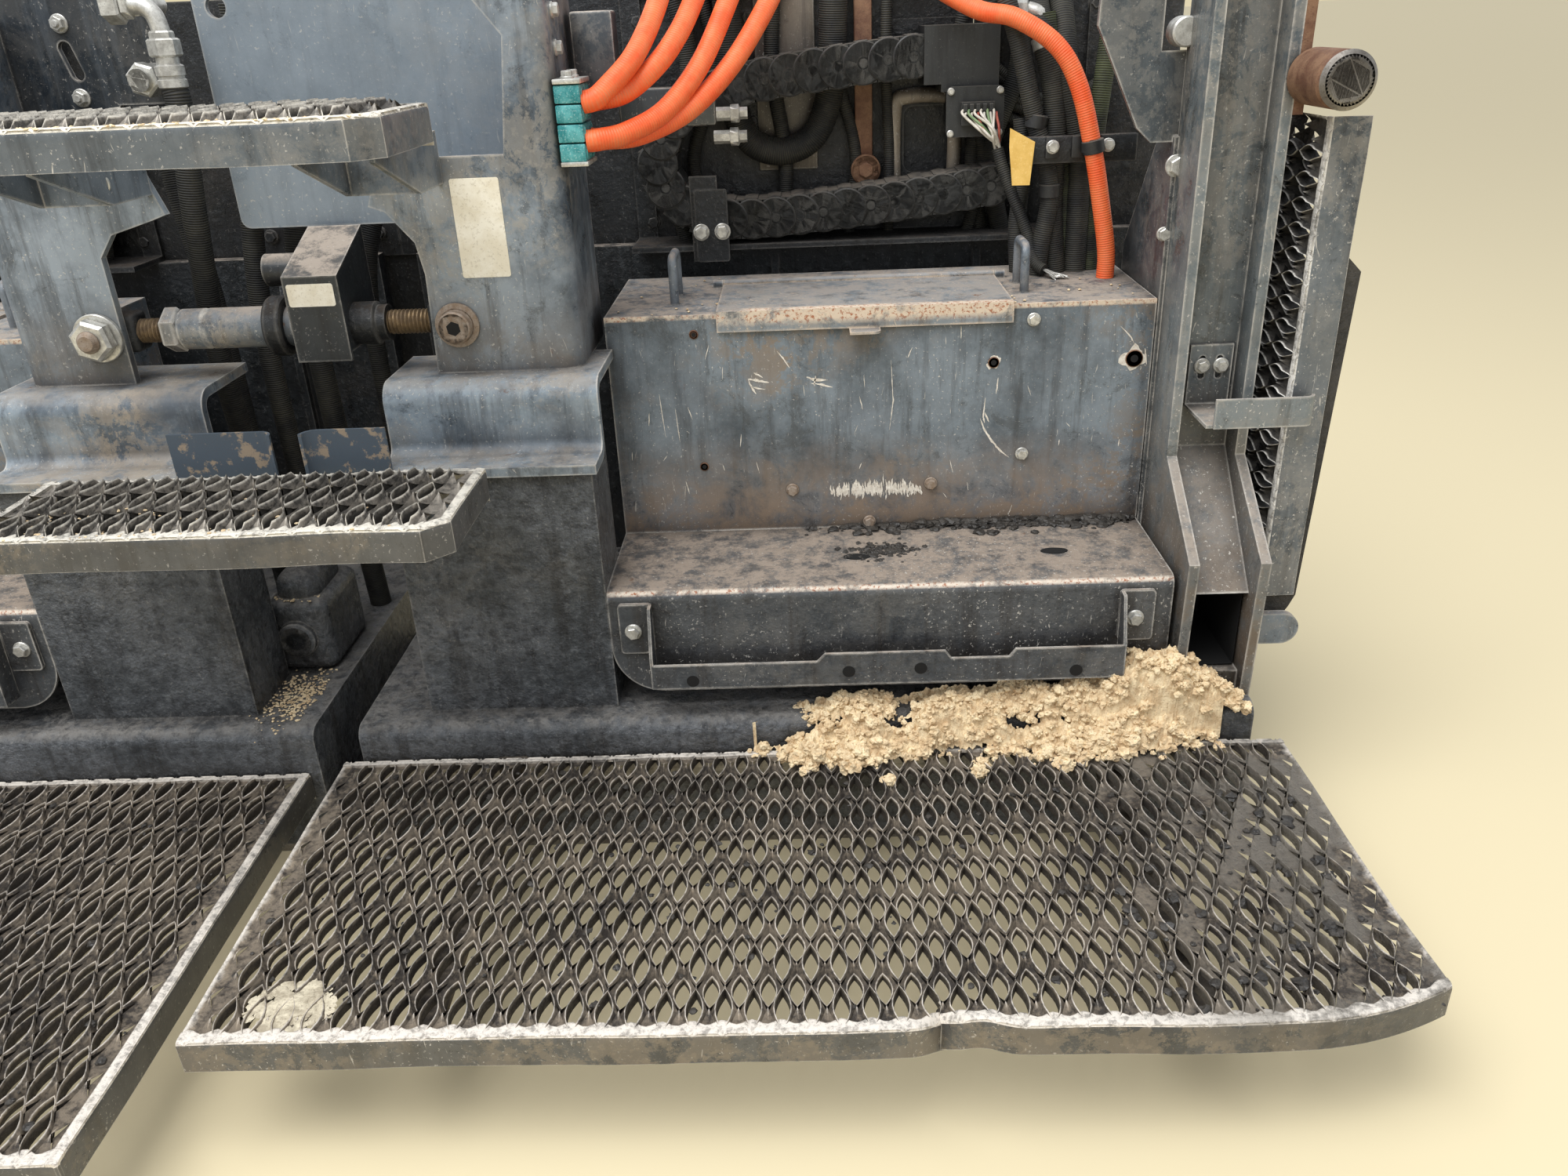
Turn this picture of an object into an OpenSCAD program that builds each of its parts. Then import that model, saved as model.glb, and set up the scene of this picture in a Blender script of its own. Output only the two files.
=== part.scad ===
/* [Overall] */
// Half width of the screed body, from the crown plane to the end of the base
half_w = 1191; // [1150:1:1260]
// Gap between the two halves at the crown
crown_gap = 60; // [40:2:80]
// Depth of the base from its rear face to the front wall
base_depth = 568; // [520:2:640]
// Height of the ledge on top of the base
base_h = 193; // [170:1:210]
// Thickness of the sole plates
sole_t = 12; // [8:1:18]
// Wall of the base box
base_wall = 10; // [6:1:14]
// Bend radius of the base's rear top edge
base_bend = 18; // [12:1:24]

/* [Rear wall and crown bracket] */
// Distance from the base's rear face to the rear wall
ledge_d = 42; // [32:1:60]
// Height of the rear wall's top edge
wall_top = 524; // [480:2:560]
// Thickness of the walls and posts
plate_t = 12; // [8:1:16]
// Distance from the crown plane to the rear wall's inner edge
wall_in = 117; // [100:1:140]
// Height of the crown bracket's upper step
bracket_top = 624; // [600:2:650]

/* [Centre posts] */
// Distance from the crown plane to the outer side of a centre post
post_out = 353; // [340:1:380]
// Height of the post above the floor
post_top = 1040; // [1010:5:1100]
// Rear face of the centre posts
post_y = 140; // [120:2:170]
// Radius of the post's outer bend
post_bend = 26; // [16:1:36]
// Depth of the post's side
post_depth = 170; // [120:5:220]

/* [Locker] */
// Distance from the crown plane to the locker's inner side
locker_in = 368; // [366:1:400]
// Gap between the locker and the end post
locker_gap = 7; // [3:1:30]
// Rear face of the locker
locker_y = 235; // [220:1:260]
// Depth of the locker
locker_d = 255; // [200:5:300]
// Height of the locker's floor
locker_z = 360; // [340:2:380]
// Height of the locker
locker_h = 304; // [260:2:340]
// Sheet thickness of the locker, its cover and its lid
sheet_t = 4; // [3:0.5:6]
// Distance from the crown plane to the lid's inner side
lid_in = 515; // [480:5:560]
// Width of the lid
lid_w = 385; // [320:5:440]
// Depth of the lid
lid_d = 176; // [140:2:200]
// Height of the lid's rear lip
lid_lip = 27; // [20:1:36]

/* [Ledge cover] */
// Height of the ledge cover's lower edge
cover_z = 215; // [205:1:230]
// Radius of the cover's lower inner corner
cover_r = 65; // [30:5:80]

/* [End posts] */
// Width of the end post's channel
end_post_w = 100; // [90:2:120]
// Rear edge of the channel's flanges
end_post_y = 150; // [130:2:170]
// Depth of the channel
end_post_d = 90; // [70:2:110]
// Width of the socket at the post's foot
socket_w = 74; // [60:2:80]
// Height of the socket at the post's foot
socket_h = 112; // [90:2:124]

/* [Walkways] */
// Length of a walkway
walk_l = 1217; // [1150:1:1280]
// Distance between the grating's openings along the walkway
grate_pitch = 28.6; // [26:0.2:34]
// Distance between the grating's rows across the walkway
grate_row = 59.2; // [56:0.2:70]
// Width of one grating opening
grate_open = 19; // [14:0.5:22]
// Depth of the right walkway
walk_d = 474; // [420:2:520]
// Depth of the left walkway
walk_d_left = 594; // [540:2:620]
// Height of the right walkway's tread
walk_z = 150; // [140:1:160]
// Height of the flanges of walkways and steps
flange_h = 38; // [30:1:46]
// Metal thickness of walkways and steps
tread_t = 4; // [3:0.5:6]

/* [Steps] */
// Width of the centre steps
step_w = 514; // [460:2:560]
// Depth of the centre steps
step_d = 178; // [150:2:200]
// Height of the lower step's tread
step_low_z = 554; // [535:1:560]
// Height of the upper step's tread
step_up_z = 945; // [920:5:970]
// Rear edge of the steps, behind the base's rear face
step_y = 195; // [180:1:215]

/* [End walkways] */
// Gap between the body's end and the folded end walkway
fold_gap = 33; // [29:1:45]
// Length of the end walkway's deck
end_deck_l = 594; // [540:2:620]
// Depth of the end walkway's deck
end_deck_d = 241; // [200:1:300]
// Rear edge of the end walkway
end_deck_y = 120; // [100:2:140]
// Height of the end walkway's fold axis
fold_z = 250; // [240:1:262]
// Radius of the fold pin
fold_pin_r = 10; // [8:0.5:14]
// Angle that the end walkway folds down
fold_angle = 90; // [80:1:95]

/* [Front] */
// Height of the front wall
front_h = 700; // [680:5:720]
// Radius of the tow pin bore
tow_bore_r = 20; // [16:1:24]

/* [Crown adjuster] */
// Height of the crown turnbuckle's axis
turn_z = 684; // [676:1:700]
// Radius of the turnbuckle's threaded rods
rod_r = 15; // [12:0.5:18]
// Radius of the turnbuckle's tube
tube_r = 25; // [20:1:30]
// Length of the turnbuckle's tube
tube_l = 150; // [140:2:170]

/* [Hoses and cable carriers] */
// Radius of the orange hoses
orange_r = 12; // [9:0.5:14]
// Radius of the black hoses
black_r = 14; // [10:0.5:16]
// Width of a cable carrier
carrier_w = 60; // [50:1:70]
// Thickness of a cable carrier
carrier_t = 42; // [36:1:48]
// Middle radius of the carrier's bend
carrier_r = 95; // [88:1:105]
// Length of one carrier link, from pin to pin
link_l = 30; // [28:1:32]

/* [Hidden] */
$fn = 48;
seat = 0.3;
base_in = crown_gap / 2;
wall_y = ledge_d;
locker_out = half_w - end_post_w - locker_gap;
locker_top = locker_z + locker_h;
locker_back = locker_y + locker_d;
lid_out = lid_in + lid_w;
lid_y = locker_y - sheet_t - 2;
end_post_in = half_w - end_post_w;
end_post_back = end_post_y + end_post_d;
end_deck_x = half_w + fold_gap;
front_y = base_depth;
front_t = 30;
paint = [0.17, 0.21, 0.25];
tar = [0.09, 0.09, 0.1];
zinc = [0.6, 0.6, 0.58];
rust = [0.42, 0.26, 0.18];

// Puts a piece drawn for the right half on the right (1) or the left (-1)
module side(s) {
    if (s > 0) children();
    else mirror([1, 0, 0]) children();
}

// Puts a piece drawn for the right half on both halves
module both() {
    for (s = [1, -1]) side(s) children();
}

// Extrudes an outline drawn in (Y, Z) from x0 to x1
module along_x(x0, x1) {
    translate([x0, 0, 0]) rotate([90, 0, 90]) linear_extrude(x1 - x0) children();
}

// Extrudes an outline drawn in (X, Z) from y0 to y1
module along_y(y0, y1) {
    translate([0, y1, 0]) rotate([90, 0, 0]) linear_extrude(y1 - y0) children();
}

module block(x0, x1, y0, y1, z0, z1) {
    translate([x0, y0, z0]) cube([x1 - x0, y1 - y0, z1 - z0]);
}

// Rod along Y
module pin_y(x, z, y0, y1, r) {
    translate([x, y1, z]) rotate([90, 0, 0]) cylinder(h = y1 - y0, r = r);
}

// Rod along X
module pin_x(y, z, x0, x1, r) {
    translate([x0, y, z]) rotate([0, 90, 0]) cylinder(h = x1 - x0, r = r);
}

// Rectangle with one corner rounded by a true arc; the corner is picked by
// the signs sx and sy
module round_corner_box(w, h, r, sx, sy) {
    cx = sx > 0 ? w - r : r;
    cy = sy > 0 ? h - r : r;
    difference() {
        square([w, h]);
        translate([sx > 0 ? w - r : 0, sy > 0 ? h - r : 0]) square(r);
    }
    intersection() {
        translate([cx, cy]) circle(r);
        square([w, h]);
    }
}

// Quarter of a sheet's bend: outer radius r, sheet t, turned by a
module bend(x, y, r, t, a) {
    translate([x, y]) rotate(a) intersection() {
        difference() {
            circle(r);
            circle(r - t);
        }
        square(r);
    }
}

// Rectangle with four round corners, each an arc of six chords
module round_square(w, h, r) {
    corners = [[w - r, h - r, 0], [r, h - r, 90], [r, r, 180], [w - r, r, 270]];
    polygon([
        for (c = corners, a = [0 : 15 : 90])
            [c[0] + r * cos(c[2] + a), c[1] + r * sin(c[2] + a)]
    ]);
}

// Slot with round ends, w long and 2 r wide
module slot_outline(w, r) {
    square([w, 2 * r], center = true);
    for (s = [-1, 1]) translate([s * w / 2, 0]) circle(r);
}

module base_profile(inset) {
    translate([inset, sole_t + inset])
        round_corner_box(
            base_depth - 2 * inset,
            base_h - sole_t - 2 * inset,
            base_bend - inset, -1, 1
        );
}

module base_frame(s) {
    color(tar) side(s) difference() {
        along_x(base_in, half_w) base_profile(0);
        along_x(base_in + base_wall, half_w - base_wall) base_profile(base_wall);
    }
}

module sole_plate(s) {
    color("dimgray") side(s) along_x(base_in, half_w)
        polygon([
            [0, 0], [base_depth - sole_t, 0], [base_depth, sole_t], [0, sole_t]
        ]);
}

module rear_wall(s) {
    wall_gusset_y = 150;
    color(tar) side(s) {
        block(wall_in, locker_in, wall_y, wall_y + plate_t, base_h, wall_top);
        for (x = [wall_in, locker_in - plate_t])
            block(x, x + plate_t, wall_y + plate_t, wall_gusset_y, base_h, wall_top);
    }
}

// S-bent plate that carries the centre post
bracket_flange_y = 30;
module crown_bracket(s) {
    y_step = 92;
    y_top = locker_y - 3;
    r = 26;
    ri = r - plate_t;
    flange_z = wall_top + plate_t;
    color(paint) side(s) along_x(wall_in - 5, locker_in + 8) {
        translate([bracket_flange_y, wall_top])
            square([y_step - ri - bracket_flange_y, plate_t]);
        bend(y_step - ri, flange_z + ri, r, plate_t, -90);
        translate([y_step, flange_z + ri])
            square([plate_t, bracket_top - r - flange_z - ri]);
        bend(y_step + r, bracket_top - r, r, plate_t, 90);
        translate([y_step + r, bracket_top - plate_t])
            square([y_top - y_step - r, plate_t]);
    }
}

post_face_in = 171;
module centre_post(s) {
    face_end = post_out - post_bend;
    color(paint) side(s) difference() {
        union() {
            along_y(post_y, post_y + plate_t)
                polygon(concat(
                    [
                        [face_end, bracket_top], [face_end, post_top],
                        [275, post_top], [304, 1002], [289, 878], [139, 878],
                        [121, 826], [139, 820]
                    ],
                    s > 0
                        ? [[169, 783], [175, 746], [post_face_in, bracket_top]]
                        : [[192, 805], [212, 779], [212, bracket_top]]
                ));
            translate([0, 0, bracket_top]) linear_extrude(post_top - bracket_top)
                bend(face_end, post_y + post_bend, post_bend, plate_t, -90);
            block(
                post_out - plate_t, post_out, post_y + post_bend, post_y + post_depth,
                bracket_top, post_top
            );
        }
        pin_y(s > 0 ? turn_bolt_x : turn_bolt_left, turn_z, post_y - 1,
            post_y + plate_t + 1, 13);
    }
}

lid_hinge_r = 5;
hinge_y = lid_y + lid_d + lid_hinge_r - 2;
hinge_z = locker_top + seat + lid_hinge_r;
module locker(s) {
    lid_hole = 12;
    lug_l = 14;
    color(paint) side(s) for (x = [lid_in - seat - lug_l, lid_out + seat]) {
        pin_x(hinge_y, hinge_z, x, x + lug_l, lid_hinge_r);
        block(
            x, x + lug_l, hinge_y - lid_hinge_r, hinge_y + lid_hinge_r,
            locker_top, hinge_z
        );
    }
    color(paint) side(s) difference() {
        block(locker_in, locker_out, locker_y, locker_back, locker_z, locker_top);
        block(
            locker_in + sheet_t, locker_out - sheet_t,
            locker_y + sheet_t, locker_back - sheet_t,
            locker_z + sheet_t, locker_top - sheet_t
        );
        block(
            lid_in + lid_hole, lid_out - lid_hole,
            locker_y + lid_hole, lid_y + lid_d - lid_hole,
            locker_top - sheet_t - 1, locker_top + 1
        );
    }
}

module lid(s) {
    z = locker_top + seat;
    grip_w = 40;
    grip_x = (lid_in + lid_out - grip_w) / 2;
    color(paint) side(s) {
        block(lid_in, lid_out, lid_y, lid_y + lid_d, z, z + sheet_t);
        block(lid_in, lid_out, lid_y, lid_y + sheet_t, z - lid_lip + sheet_t, z);
        translate([grip_x, lid_y - 24, z - lid_lip + sheet_t - 3]) linear_extrude(3)
            round_corner_box(grip_w, 24, 10, 1, -1);
        pin_x(hinge_y, hinge_z, lid_in, lid_out, lid_hinge_r);
    }
}

module ledge_cover(s) {
    cover_h = locker_z - cover_z;
    r = 14;
    color(tar) side(s) difference() {
        union() {
            along_y(wall_y, wall_y + sheet_t) translate([locker_in, cover_z])
                round_corner_box(locker_out - locker_in, cover_h - r, cover_r, -1, -1);
            along_x(locker_in, locker_out) {
                bend(wall_y + r, locker_z - r, r, sheet_t, 90);
                translate([wall_y + r, locker_z - sheet_t])
                    square([locker_y - wall_y - r, sheet_t]);
                translate([locker_y - sheet_t, base_h])
                    square([sheet_t, locker_z - sheet_t - base_h]);
            }
        }
        for (x = [locker_in + 322, locker_out - 134])
            translate([x, 130, locker_z - sheet_t - 1]) linear_extrude(sheet_t + 2)
                slot_outline(20, 6);
    }
}

rail_z = 301;
module tool_rail() {
    pad_w = 44;
    pad_in = locker_in + 13;
    pad_out = locker_out - 23;
    bar_y = 4;
    t = 4;
    bar_low = rail_z - 62;
    bar_in = pad_in + pad_w - t;
    bar_out = pad_out - pad_w + t;
    top = rail_z - 28;
    rise = 11;
    pad_top = rail_z + 44;
    color(paint) {
        for (x = [pad_in, pad_out - pad_w])
            along_y(wall_y - 6, wall_y) translate([x, rail_z - 26])
                round_square(pad_w, 70, 5);
        for (x = [bar_in, bar_out - t])
            along_x(x, x + t)
                polygon([
                    [bar_y, bar_low], [wall_y - 10, bar_low], [wall_y - 6, pad_top],
                    [wall_y - 20, pad_top], [bar_y, top + rise]
                ]);
        along_y(bar_y, bar_y + t)
            polygon([
                [bar_in + t, bar_low], [bar_out - t, bar_low],
                [bar_out - t, top + rise], [bar_out - 138, top + rise],
                [bar_out - 146, top], [bar_out - 218, top],
                [bar_out - 226, top + rise], [bar_in + 222, top + rise],
                [bar_in + 212, top], [bar_in + t, top]
            ]);
        block(bar_in + t, bar_out - t, bar_y + t, wall_y - 10, bar_low, bar_low + t);
    }
}

module end_post(s) {
    socket_z = base_h + 29;
    web_y = end_post_y + 40;
    foot_y = 16;
    flange = 13;
    cheek = [
        [end_post_y, post_top + 40], [end_post_y, 480], [foot_y, 386],
        [foot_y + 10, base_h], [end_post_y + end_post_d, base_h],
        [end_post_y + end_post_d, post_top + 40]
    ];
    color(paint) side(s) difference() {
        union() {
            along_x(end_post_in, end_post_in + flange) polygon(cheek);
            along_x(half_w - flange, half_w) polygon(cheek);
            block(
                end_post_in + flange, half_w - flange, web_y, web_y + plate_t,
                480, post_top + 40
            );
            along_x(end_post_in + flange, half_w - flange)
                polygon([
                    [web_y, 480], [ledge_d, socket_z + socket_h],
                    [ledge_d + plate_t, socket_z + socket_h],
                    [end_post_y + end_post_d, socket_z + socket_h],
                    [end_post_y + end_post_d, socket_z + socket_h + plate_t],
                    [ledge_d + 34, socket_z + socket_h + plate_t],
                    [web_y + plate_t, 480]
                ]);
            block(
                end_post_in + flange, half_w - flange, ledge_d, end_post_y + end_post_d,
                base_h, socket_z
            );
        }
    }
}

module hook_bracket() {
    x0 = half_w - 73;
    w = 54;
    strap_y = end_deck_y - 24;
    strap_end = end_deck_x + 24;
    web_y = end_post_y + 40;
    low = 534;
    bend_r = 14;
    color(paint) {
        difference() {
            block(x0, x0 + w, web_y - 5, web_y, low, low + 81);
            for (x = [x0 + 16, x0 + w - 16])
                along_y(web_y - 6, web_y + 1)
                    translate([x, low + 52]) rotate(90) slot_outline(22, 4);
        }
        block(x0, x0 + w, strap_y, web_y - 5, low, low + 4);
        block(x0 + 8, strap_end - bend_r, strap_y - 4, strap_y, low, low + 37);
        translate([0, 0, low]) linear_extrude(37)
            bend(strap_end - bend_r, strap_y - 4 + bend_r, bend_r, 4, -90);
    }
}

// Rows of pointed openings, every second row set off by half a pitch. The
// first row stands half a row from the edge.
module grating_openings(l, d) {
    margin = 15;
    nx = floor((l - 2 * margin) / grate_pitch);
    ny = floor(d / grate_row);
    x0 = (l - nx * grate_pitch) / 2;
    y0 = (d - ny * grate_row) / 2;
    for (j = [0 : ny - 1], i = [0 : nx - 1])
        translate([x0 + grate_pitch * (i + 0.5), y0 + grate_row * (j + 0.5)])
            opening_outline();
    if (ny > 1)
        for (j = [1 : ny - 1], i = [1 : nx - 1])
            translate([x0 + grate_pitch * i, y0 + grate_row * j]) opening_outline();
}

module opening_outline() {
    a = grate_open / 2;
    b = grate_row * 0.34;
    polygon([[-a, 0], [0, -b], [a, 0], [0, b]]);
}

module grating(l, d) {
    linear_extrude(tread_t) difference() {
        square([l, d]);
        grating_openings(l, d);
    }
}

// Tread with turned-down flanges; open_in leaves the inner end open
module tread(x0, l, y0, d, top, open_in) {
    low = top - flange_h;
    under = top - tread_t;
    translate([x0, y0, under]) grating(l, d);
    block(x0, x0 + l, y0, y0 + tread_t, low, under);
    block(x0, x0 + l, y0 + d - tread_t, y0 + d, low, under);
    if (!open_in)
        block(x0, x0 + tread_t, y0 + tread_t, y0 + d - tread_t, low, under);
    for (x = hanger_x(x0, l))
        block(x - 20, x + 20, y0 + tread_t, y0 + d - tread_t, low, low + 6);
}

// Middles of the two straps that hang a walkway on the base
function hanger_x(x0, l) = [x0 + 219, x0 + l - 219];

walk_in = 10;
walk_y = -8;
module walkway_right() {
    color("dimgray") {
        tread(walk_in, walk_l, walk_y - walk_d, walk_d, walk_z, true);
        for (x = hanger_x(walk_in, walk_l))
            block(x - 20, x + 20, walk_y, 0, walk_z - flange_h, walk_z - tread_t);
    }
}

walk_drop = 21;
module walkway_left() {
    z = walk_z - walk_drop;
    x1 = -45;
    x0 = x1 - walk_l;
    y1 = -3;
    y0 = y1 - walk_d_left;
    color("dimgray") {
        tread(x0, walk_l, y0, walk_d_left, z, false);
        block(x1 - tread_t, x1, y0 + tread_t, y1 - tread_t, z - flange_h, z - tread_t);
        for (x = hanger_x(x0, walk_l))
            block(x - 20, x + 20, y1, 0, z - flange_h, z - tread_t);
    }
}

fold_pin_x = end_deck_x + 28;
arm_reach = 64;
module end_walkway(s) {
    deck_z = fold_z + 40;
    arm_t = 8;
    back = end_deck_y + end_deck_d;
    inner = end_deck_x + tread_t;
    color("dimgray") side(s) difference() {
        union() {
            along_x(end_deck_x, inner)
                translate([end_deck_y, deck_z]) difference() {
                    square([end_deck_d, end_deck_l]);
                    translate([end_deck_d, 0]) rotate(90)
                        grating_openings(end_deck_l, end_deck_d);
                }
            for (y = [end_deck_y, back - tread_t])
                block(inner, end_deck_x + 46, y, y + tread_t, deck_z, deck_z + end_deck_l);
            for (y = [end_deck_y + tread_t, back - tread_t - arm_t])
                along_y(y, y + arm_t)
                    polygon([
                        [inner, fold_z - 35], [inner, fold_z + 466],
                        [end_deck_x + 48, fold_z + 478],
                        [end_deck_x + arm_reach, fold_z + 462],
                        [end_deck_x + arm_reach - 14, fold_z + 38],
                        [end_deck_x + arm_reach - 22, fold_z + 20],
                        [inner + 2, fold_z - 35]
                    ]);
        }
        pin_y(fold_pin_x, fold_z, end_deck_y - 1, back + 1, fold_pin_r + 0.05);
    }
}

module fold_hinge() {
    lug_t = 12;
    reach = 22;
    y_ends = [end_deck_y - 8 - lug_t, end_deck_y + end_deck_d + 8];
    color(paint) {
        pin_y(fold_pin_x, fold_z, y_ends[0], y_ends[1] + lug_t, fold_pin_r);
        for (y = y_ends)
            along_y(y, y + lug_t) {
                translate([half_w, fold_z - reach])
                    square([fold_pin_x - half_w, 2 * reach]);
                translate([fold_pin_x, fold_z]) circle(reach);
            }
    }
}

// Turned stop on a bracket, which the folded end walkway comes to rest beside
module stop_barrel() {
    x = half_w + 17;
    z = 926;
    r = 30;
    color(rust) {
        translate([x, 150, z]) rotate([90, 0, 0]) rotate_extrude()
            polygon([
                [0, 0], [r - 4, 0], [r, 4], [r, 84], [r - 3, 90], [r - 3, 96],
                [r - 6, 100], [20, 100], [17, 97], [17, 76], [0, 76]
            ]);
        block(half_w, half_w + 12, 150, 230, z - 40, z + 120);
    }
}

module front_wall(s) {
    rib = 12;
    color(paint) side(s) {
        along_x(base_in, half_w)
            polygon([
                [front_y, 20], [front_y + front_t, 40], [front_y + front_t, front_h],
                [front_y, front_h]
            ]);
        for (x = [180, tow_x - 120, tow_x + 190, half_w - 60])
            along_x(x, x + plate_t)
                polygon([
                    [front_y - rib, base_h], [front_y, base_h],
                    [front_y, front_h - 20], [front_y - rib, front_h - 60]
                ]);
    }
}

tow_x = 700;
tow_gap = 70;
ear_t = 20;
tow_z = 300;
tow_y = locker_back + 42;
module tow_bracket() {
    x1 = tow_x + 2 * ear_t + tow_gap;
    ear_y = locker_back + 6;
    boss_r = tow_bore_r + 12;
    color(paint) difference() {
        union() {
            for (x = [tow_x, x1 - ear_t])
                along_x(x, x + ear_t) {
                    polygon([
                        [ear_y, base_h], [front_y, base_h], [front_y, 470],
                        [tow_y, 430], [ear_y, 400]
                    ]);
                    translate([tow_y, tow_z]) circle(boss_r);
                }
            pin_x(tow_y, tow_z, tow_x, x1, boss_r);
        }
        pin_x(tow_y, tow_z, tow_x - 1, x1 + 1, tow_bore_r);
    }
}

// Step with chamfered rear corners and turned-down flanges
module step_outline(inset) {
    chamfer = 26;
    c = chamfer - inset * 0.4;
    i = inset;
    polygon([
        [i, i + c], [i + c, i], [step_w - i - c, i], [step_w - i, i + c],
        [step_w - i, step_d - i], [i, step_d - i]
    ]);
}

module step_tread(z) {
    color("dimgray") translate([-step_w / 2, -step_y, z - flange_h]) {
        linear_extrude(flange_h - tread_t) difference() {
            step_outline(0);
            step_outline(tread_t);
        }
        translate([0, 0, flange_h - tread_t]) linear_extrude(tread_t) difference() {
            step_outline(0);
            grating_openings(step_w, step_d);
        }
    }
}

module upper_step() {
    step_tread(step_up_z);
}

module lower_step() {
    step_tread(step_low_z);
}

// Bracket under a step: two tapered sides and a plate between them. It runs
// from y0 under the step to y1 on the screed.
module step_arm(x0, w, y0, y_plate, y1, top, h) {
    t = 6;
    for (x = [x0, x0 + w - t])
        along_x(x, x + t)
            polygon([
                [y0, top - 12], [y_plate, top - h], [y1, top - h], [y1, top], [y0, top]
            ]);
    block(x0 + t, x0 + w - t, y_plate, y_plate + t, top - h, top);
}

module step_arms() {
    y0 = step_d - step_y - 60;
    color(paint) for (s = [-1, 1]) side(s) {
        step_arm(130, 84, y0, 54, post_y, step_up_z - flange_h, 58);
        step_arm(wall_in + 4, 78, y0, -30, wall_y, step_low_z - flange_h, 46);
    }
}

turn_y = post_y + plate_t + 18;
turn_bolt_x = 205;
turn_bolt_left = 242;
tube_x = -tube_l;
nut_l = 20;
module turnbuckle() {
    bolt_r = 13;
    clevis_l = 70;
    clevis_x = turn_bolt_x - 40;
    clevis_left = -turn_bolt_left + 40;
    cover_end = tube_x + tube_l + 70;
    color(rust) {
        pin_x(turn_y, turn_z, clevis_left, clevis_x, rod_r);
        for (x = [tube_x - nut_l, tube_x + tube_l])
            translate([x, turn_y, turn_z]) rotate([0, 90, 0])
                cylinder(h = nut_l, r = tube_r + 4, $fn = 6);
        pin_x(turn_y, turn_z, tube_x + tube_l - 34, tube_x + tube_l - 16, tube_r + 11);
    }
    color(paint) {
        pin_x(turn_y, turn_z, tube_x, tube_x + tube_l, tube_r);
        pin_x(turn_y, turn_z, cover_end, cover_end + 30, tube_r);
    }
    color(zinc) for (x = [-turn_bolt_left, turn_bolt_x]) {
        x0 = x > 0 ? clevis_x : clevis_left - clevis_l;
        block(
            x0, x0 + clevis_l, post_y + plate_t, turn_y + 18,
            turn_z - 24, turn_z + 24
        );
        pin_y(x, turn_z, post_y - 1, turn_y, bolt_r - 0.1);
        pin_y(x, turn_z, post_y - 5, post_y, 25);
        pin_y(x, turn_z, post_y - 22, post_y - 5, 20);
    }
}

// Bent guard over the turnbuckle's end, with its top folded forward. Its cheek
// sits on the threaded rod and it carries the adjuster's motor.
module turnbuckle_cover() {
    x0 = tube_x + tube_l + 2;
    x1 = tube_x + tube_l + 70 - seat;
    t = 5;
    y0 = turn_y - rod_r - 22;
    y1 = turn_y + 76;
    z0 = turn_z - 38;
    z1 = turn_z + 66;
    z2 = turn_z + 108;
    floor_z = turn_z + tube_r + 8;
    color(paint) {
        along_x(x0, x1)
            polygon([
                [y0, z0], [y0 + t, z0], [y0 + t, z1 - 2], [y1, z2 - t], [y1, z2], [y0, z1]
            ]);
        along_x(x1 - t, x1) difference() {
            polygon([
                [y0 + t, z0 + 10], [turn_y + 20, z0 + 10], [y1, floor_z - 20],
                [y1, z2 - t], [y0 + t, z1 - 2]
            ]);
            translate([turn_y, turn_z]) circle(rod_r + seat);
        }
        block(x0 + 10, x1 - t, turn_y + 34, y1, floor_z, floor_z + t);
    }
    color(tar) {
        pin_x(y1 - 26, turn_z + 60, x0 - 52, x0 + 16, 20);
        block(x0 + 12, x0 + 22, y1 - 42, y1 - 8, floor_z + t, turn_z + 66);
    }
}

module centre_panels() {
    x1 = post_out - plate_t;
    t = 8;
    color(paint) {
        along_y(260, 260 + t) difference() {
            translate([-88, 790]) round_square(x1 + 88, post_top - 760, 12);
            translate([-60, post_top + 5]) circle(12);
        }
        along_y(280, 280 + t) difference() {
            polygon([
                [-x1, 850], [-250, 850], [-215, 941], [-150, 941], [-130, post_top + 40],
                [-x1, post_top + 40]
            ]);
            translate([-262, 993]) rotate(105) slot_outline(30, 8);
        }
    }
}

// Hanging strap on the crown bracket, with its free end curled to the rear
module tool_hook(x_free, l) {
    h = 54;
    t = 4;
    r = 18;
    y = bracket_flange_y + 2;
    color(paint) translate([x_free, 0, wall_top + plate_t]) {
        linear_extrude(h) {
            translate([r, y]) square([l - r, t]);
            bend(r, y + t - r, r, t, 90);
        }
    }
}

module tool_hooks() {
    tool_hook(32, 98);
    mirror([1, 0, 0]) tool_hook(2, 130);
}

// Bent rod loop that stands on the locker
module lifting_loop(x) {
    y = locker_y + 70;
    w = 60;
    h = 60;
    rod = 6;
    r = 12;
    for (dy = [0, w])
        translate([x, y + dy, locker_top]) cylinder(h = h - r, r = rod);
    pin_y(x, locker_top + h, y + r, y + w - r, rod);
    for (side_y = [[y + r, 180], [y + w - r, 90]])
        translate([x, side_y[0], locker_top + h - r]) rotate([90, 0, 90])
            rotate(side_y[1] - 90) rotate_extrude(angle = 90)
                translate([r, 0]) circle(rod);
}

module lifting_loops() {
    color(paint) for (s = [-1, 1]) side(s) {
        lifting_loop(lid_in - 60);
        lifting_loop(lid_out + 25);
    }
}

// Gusset beside the end post's foot, and the head plate with its window and
// the pointed lug under it
module side_plates() {
    y = end_post_back;
    color(paint) for (s = [-1, 1]) side(s) {
        along_x(end_post_in - 6, end_post_in)
            polygon([
                [y - 8, base_h], [430, base_h], [430, 700], [y + 60, 860], [y - 8, 860]
            ]);
        cut_plate(y);
    }
}

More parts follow.
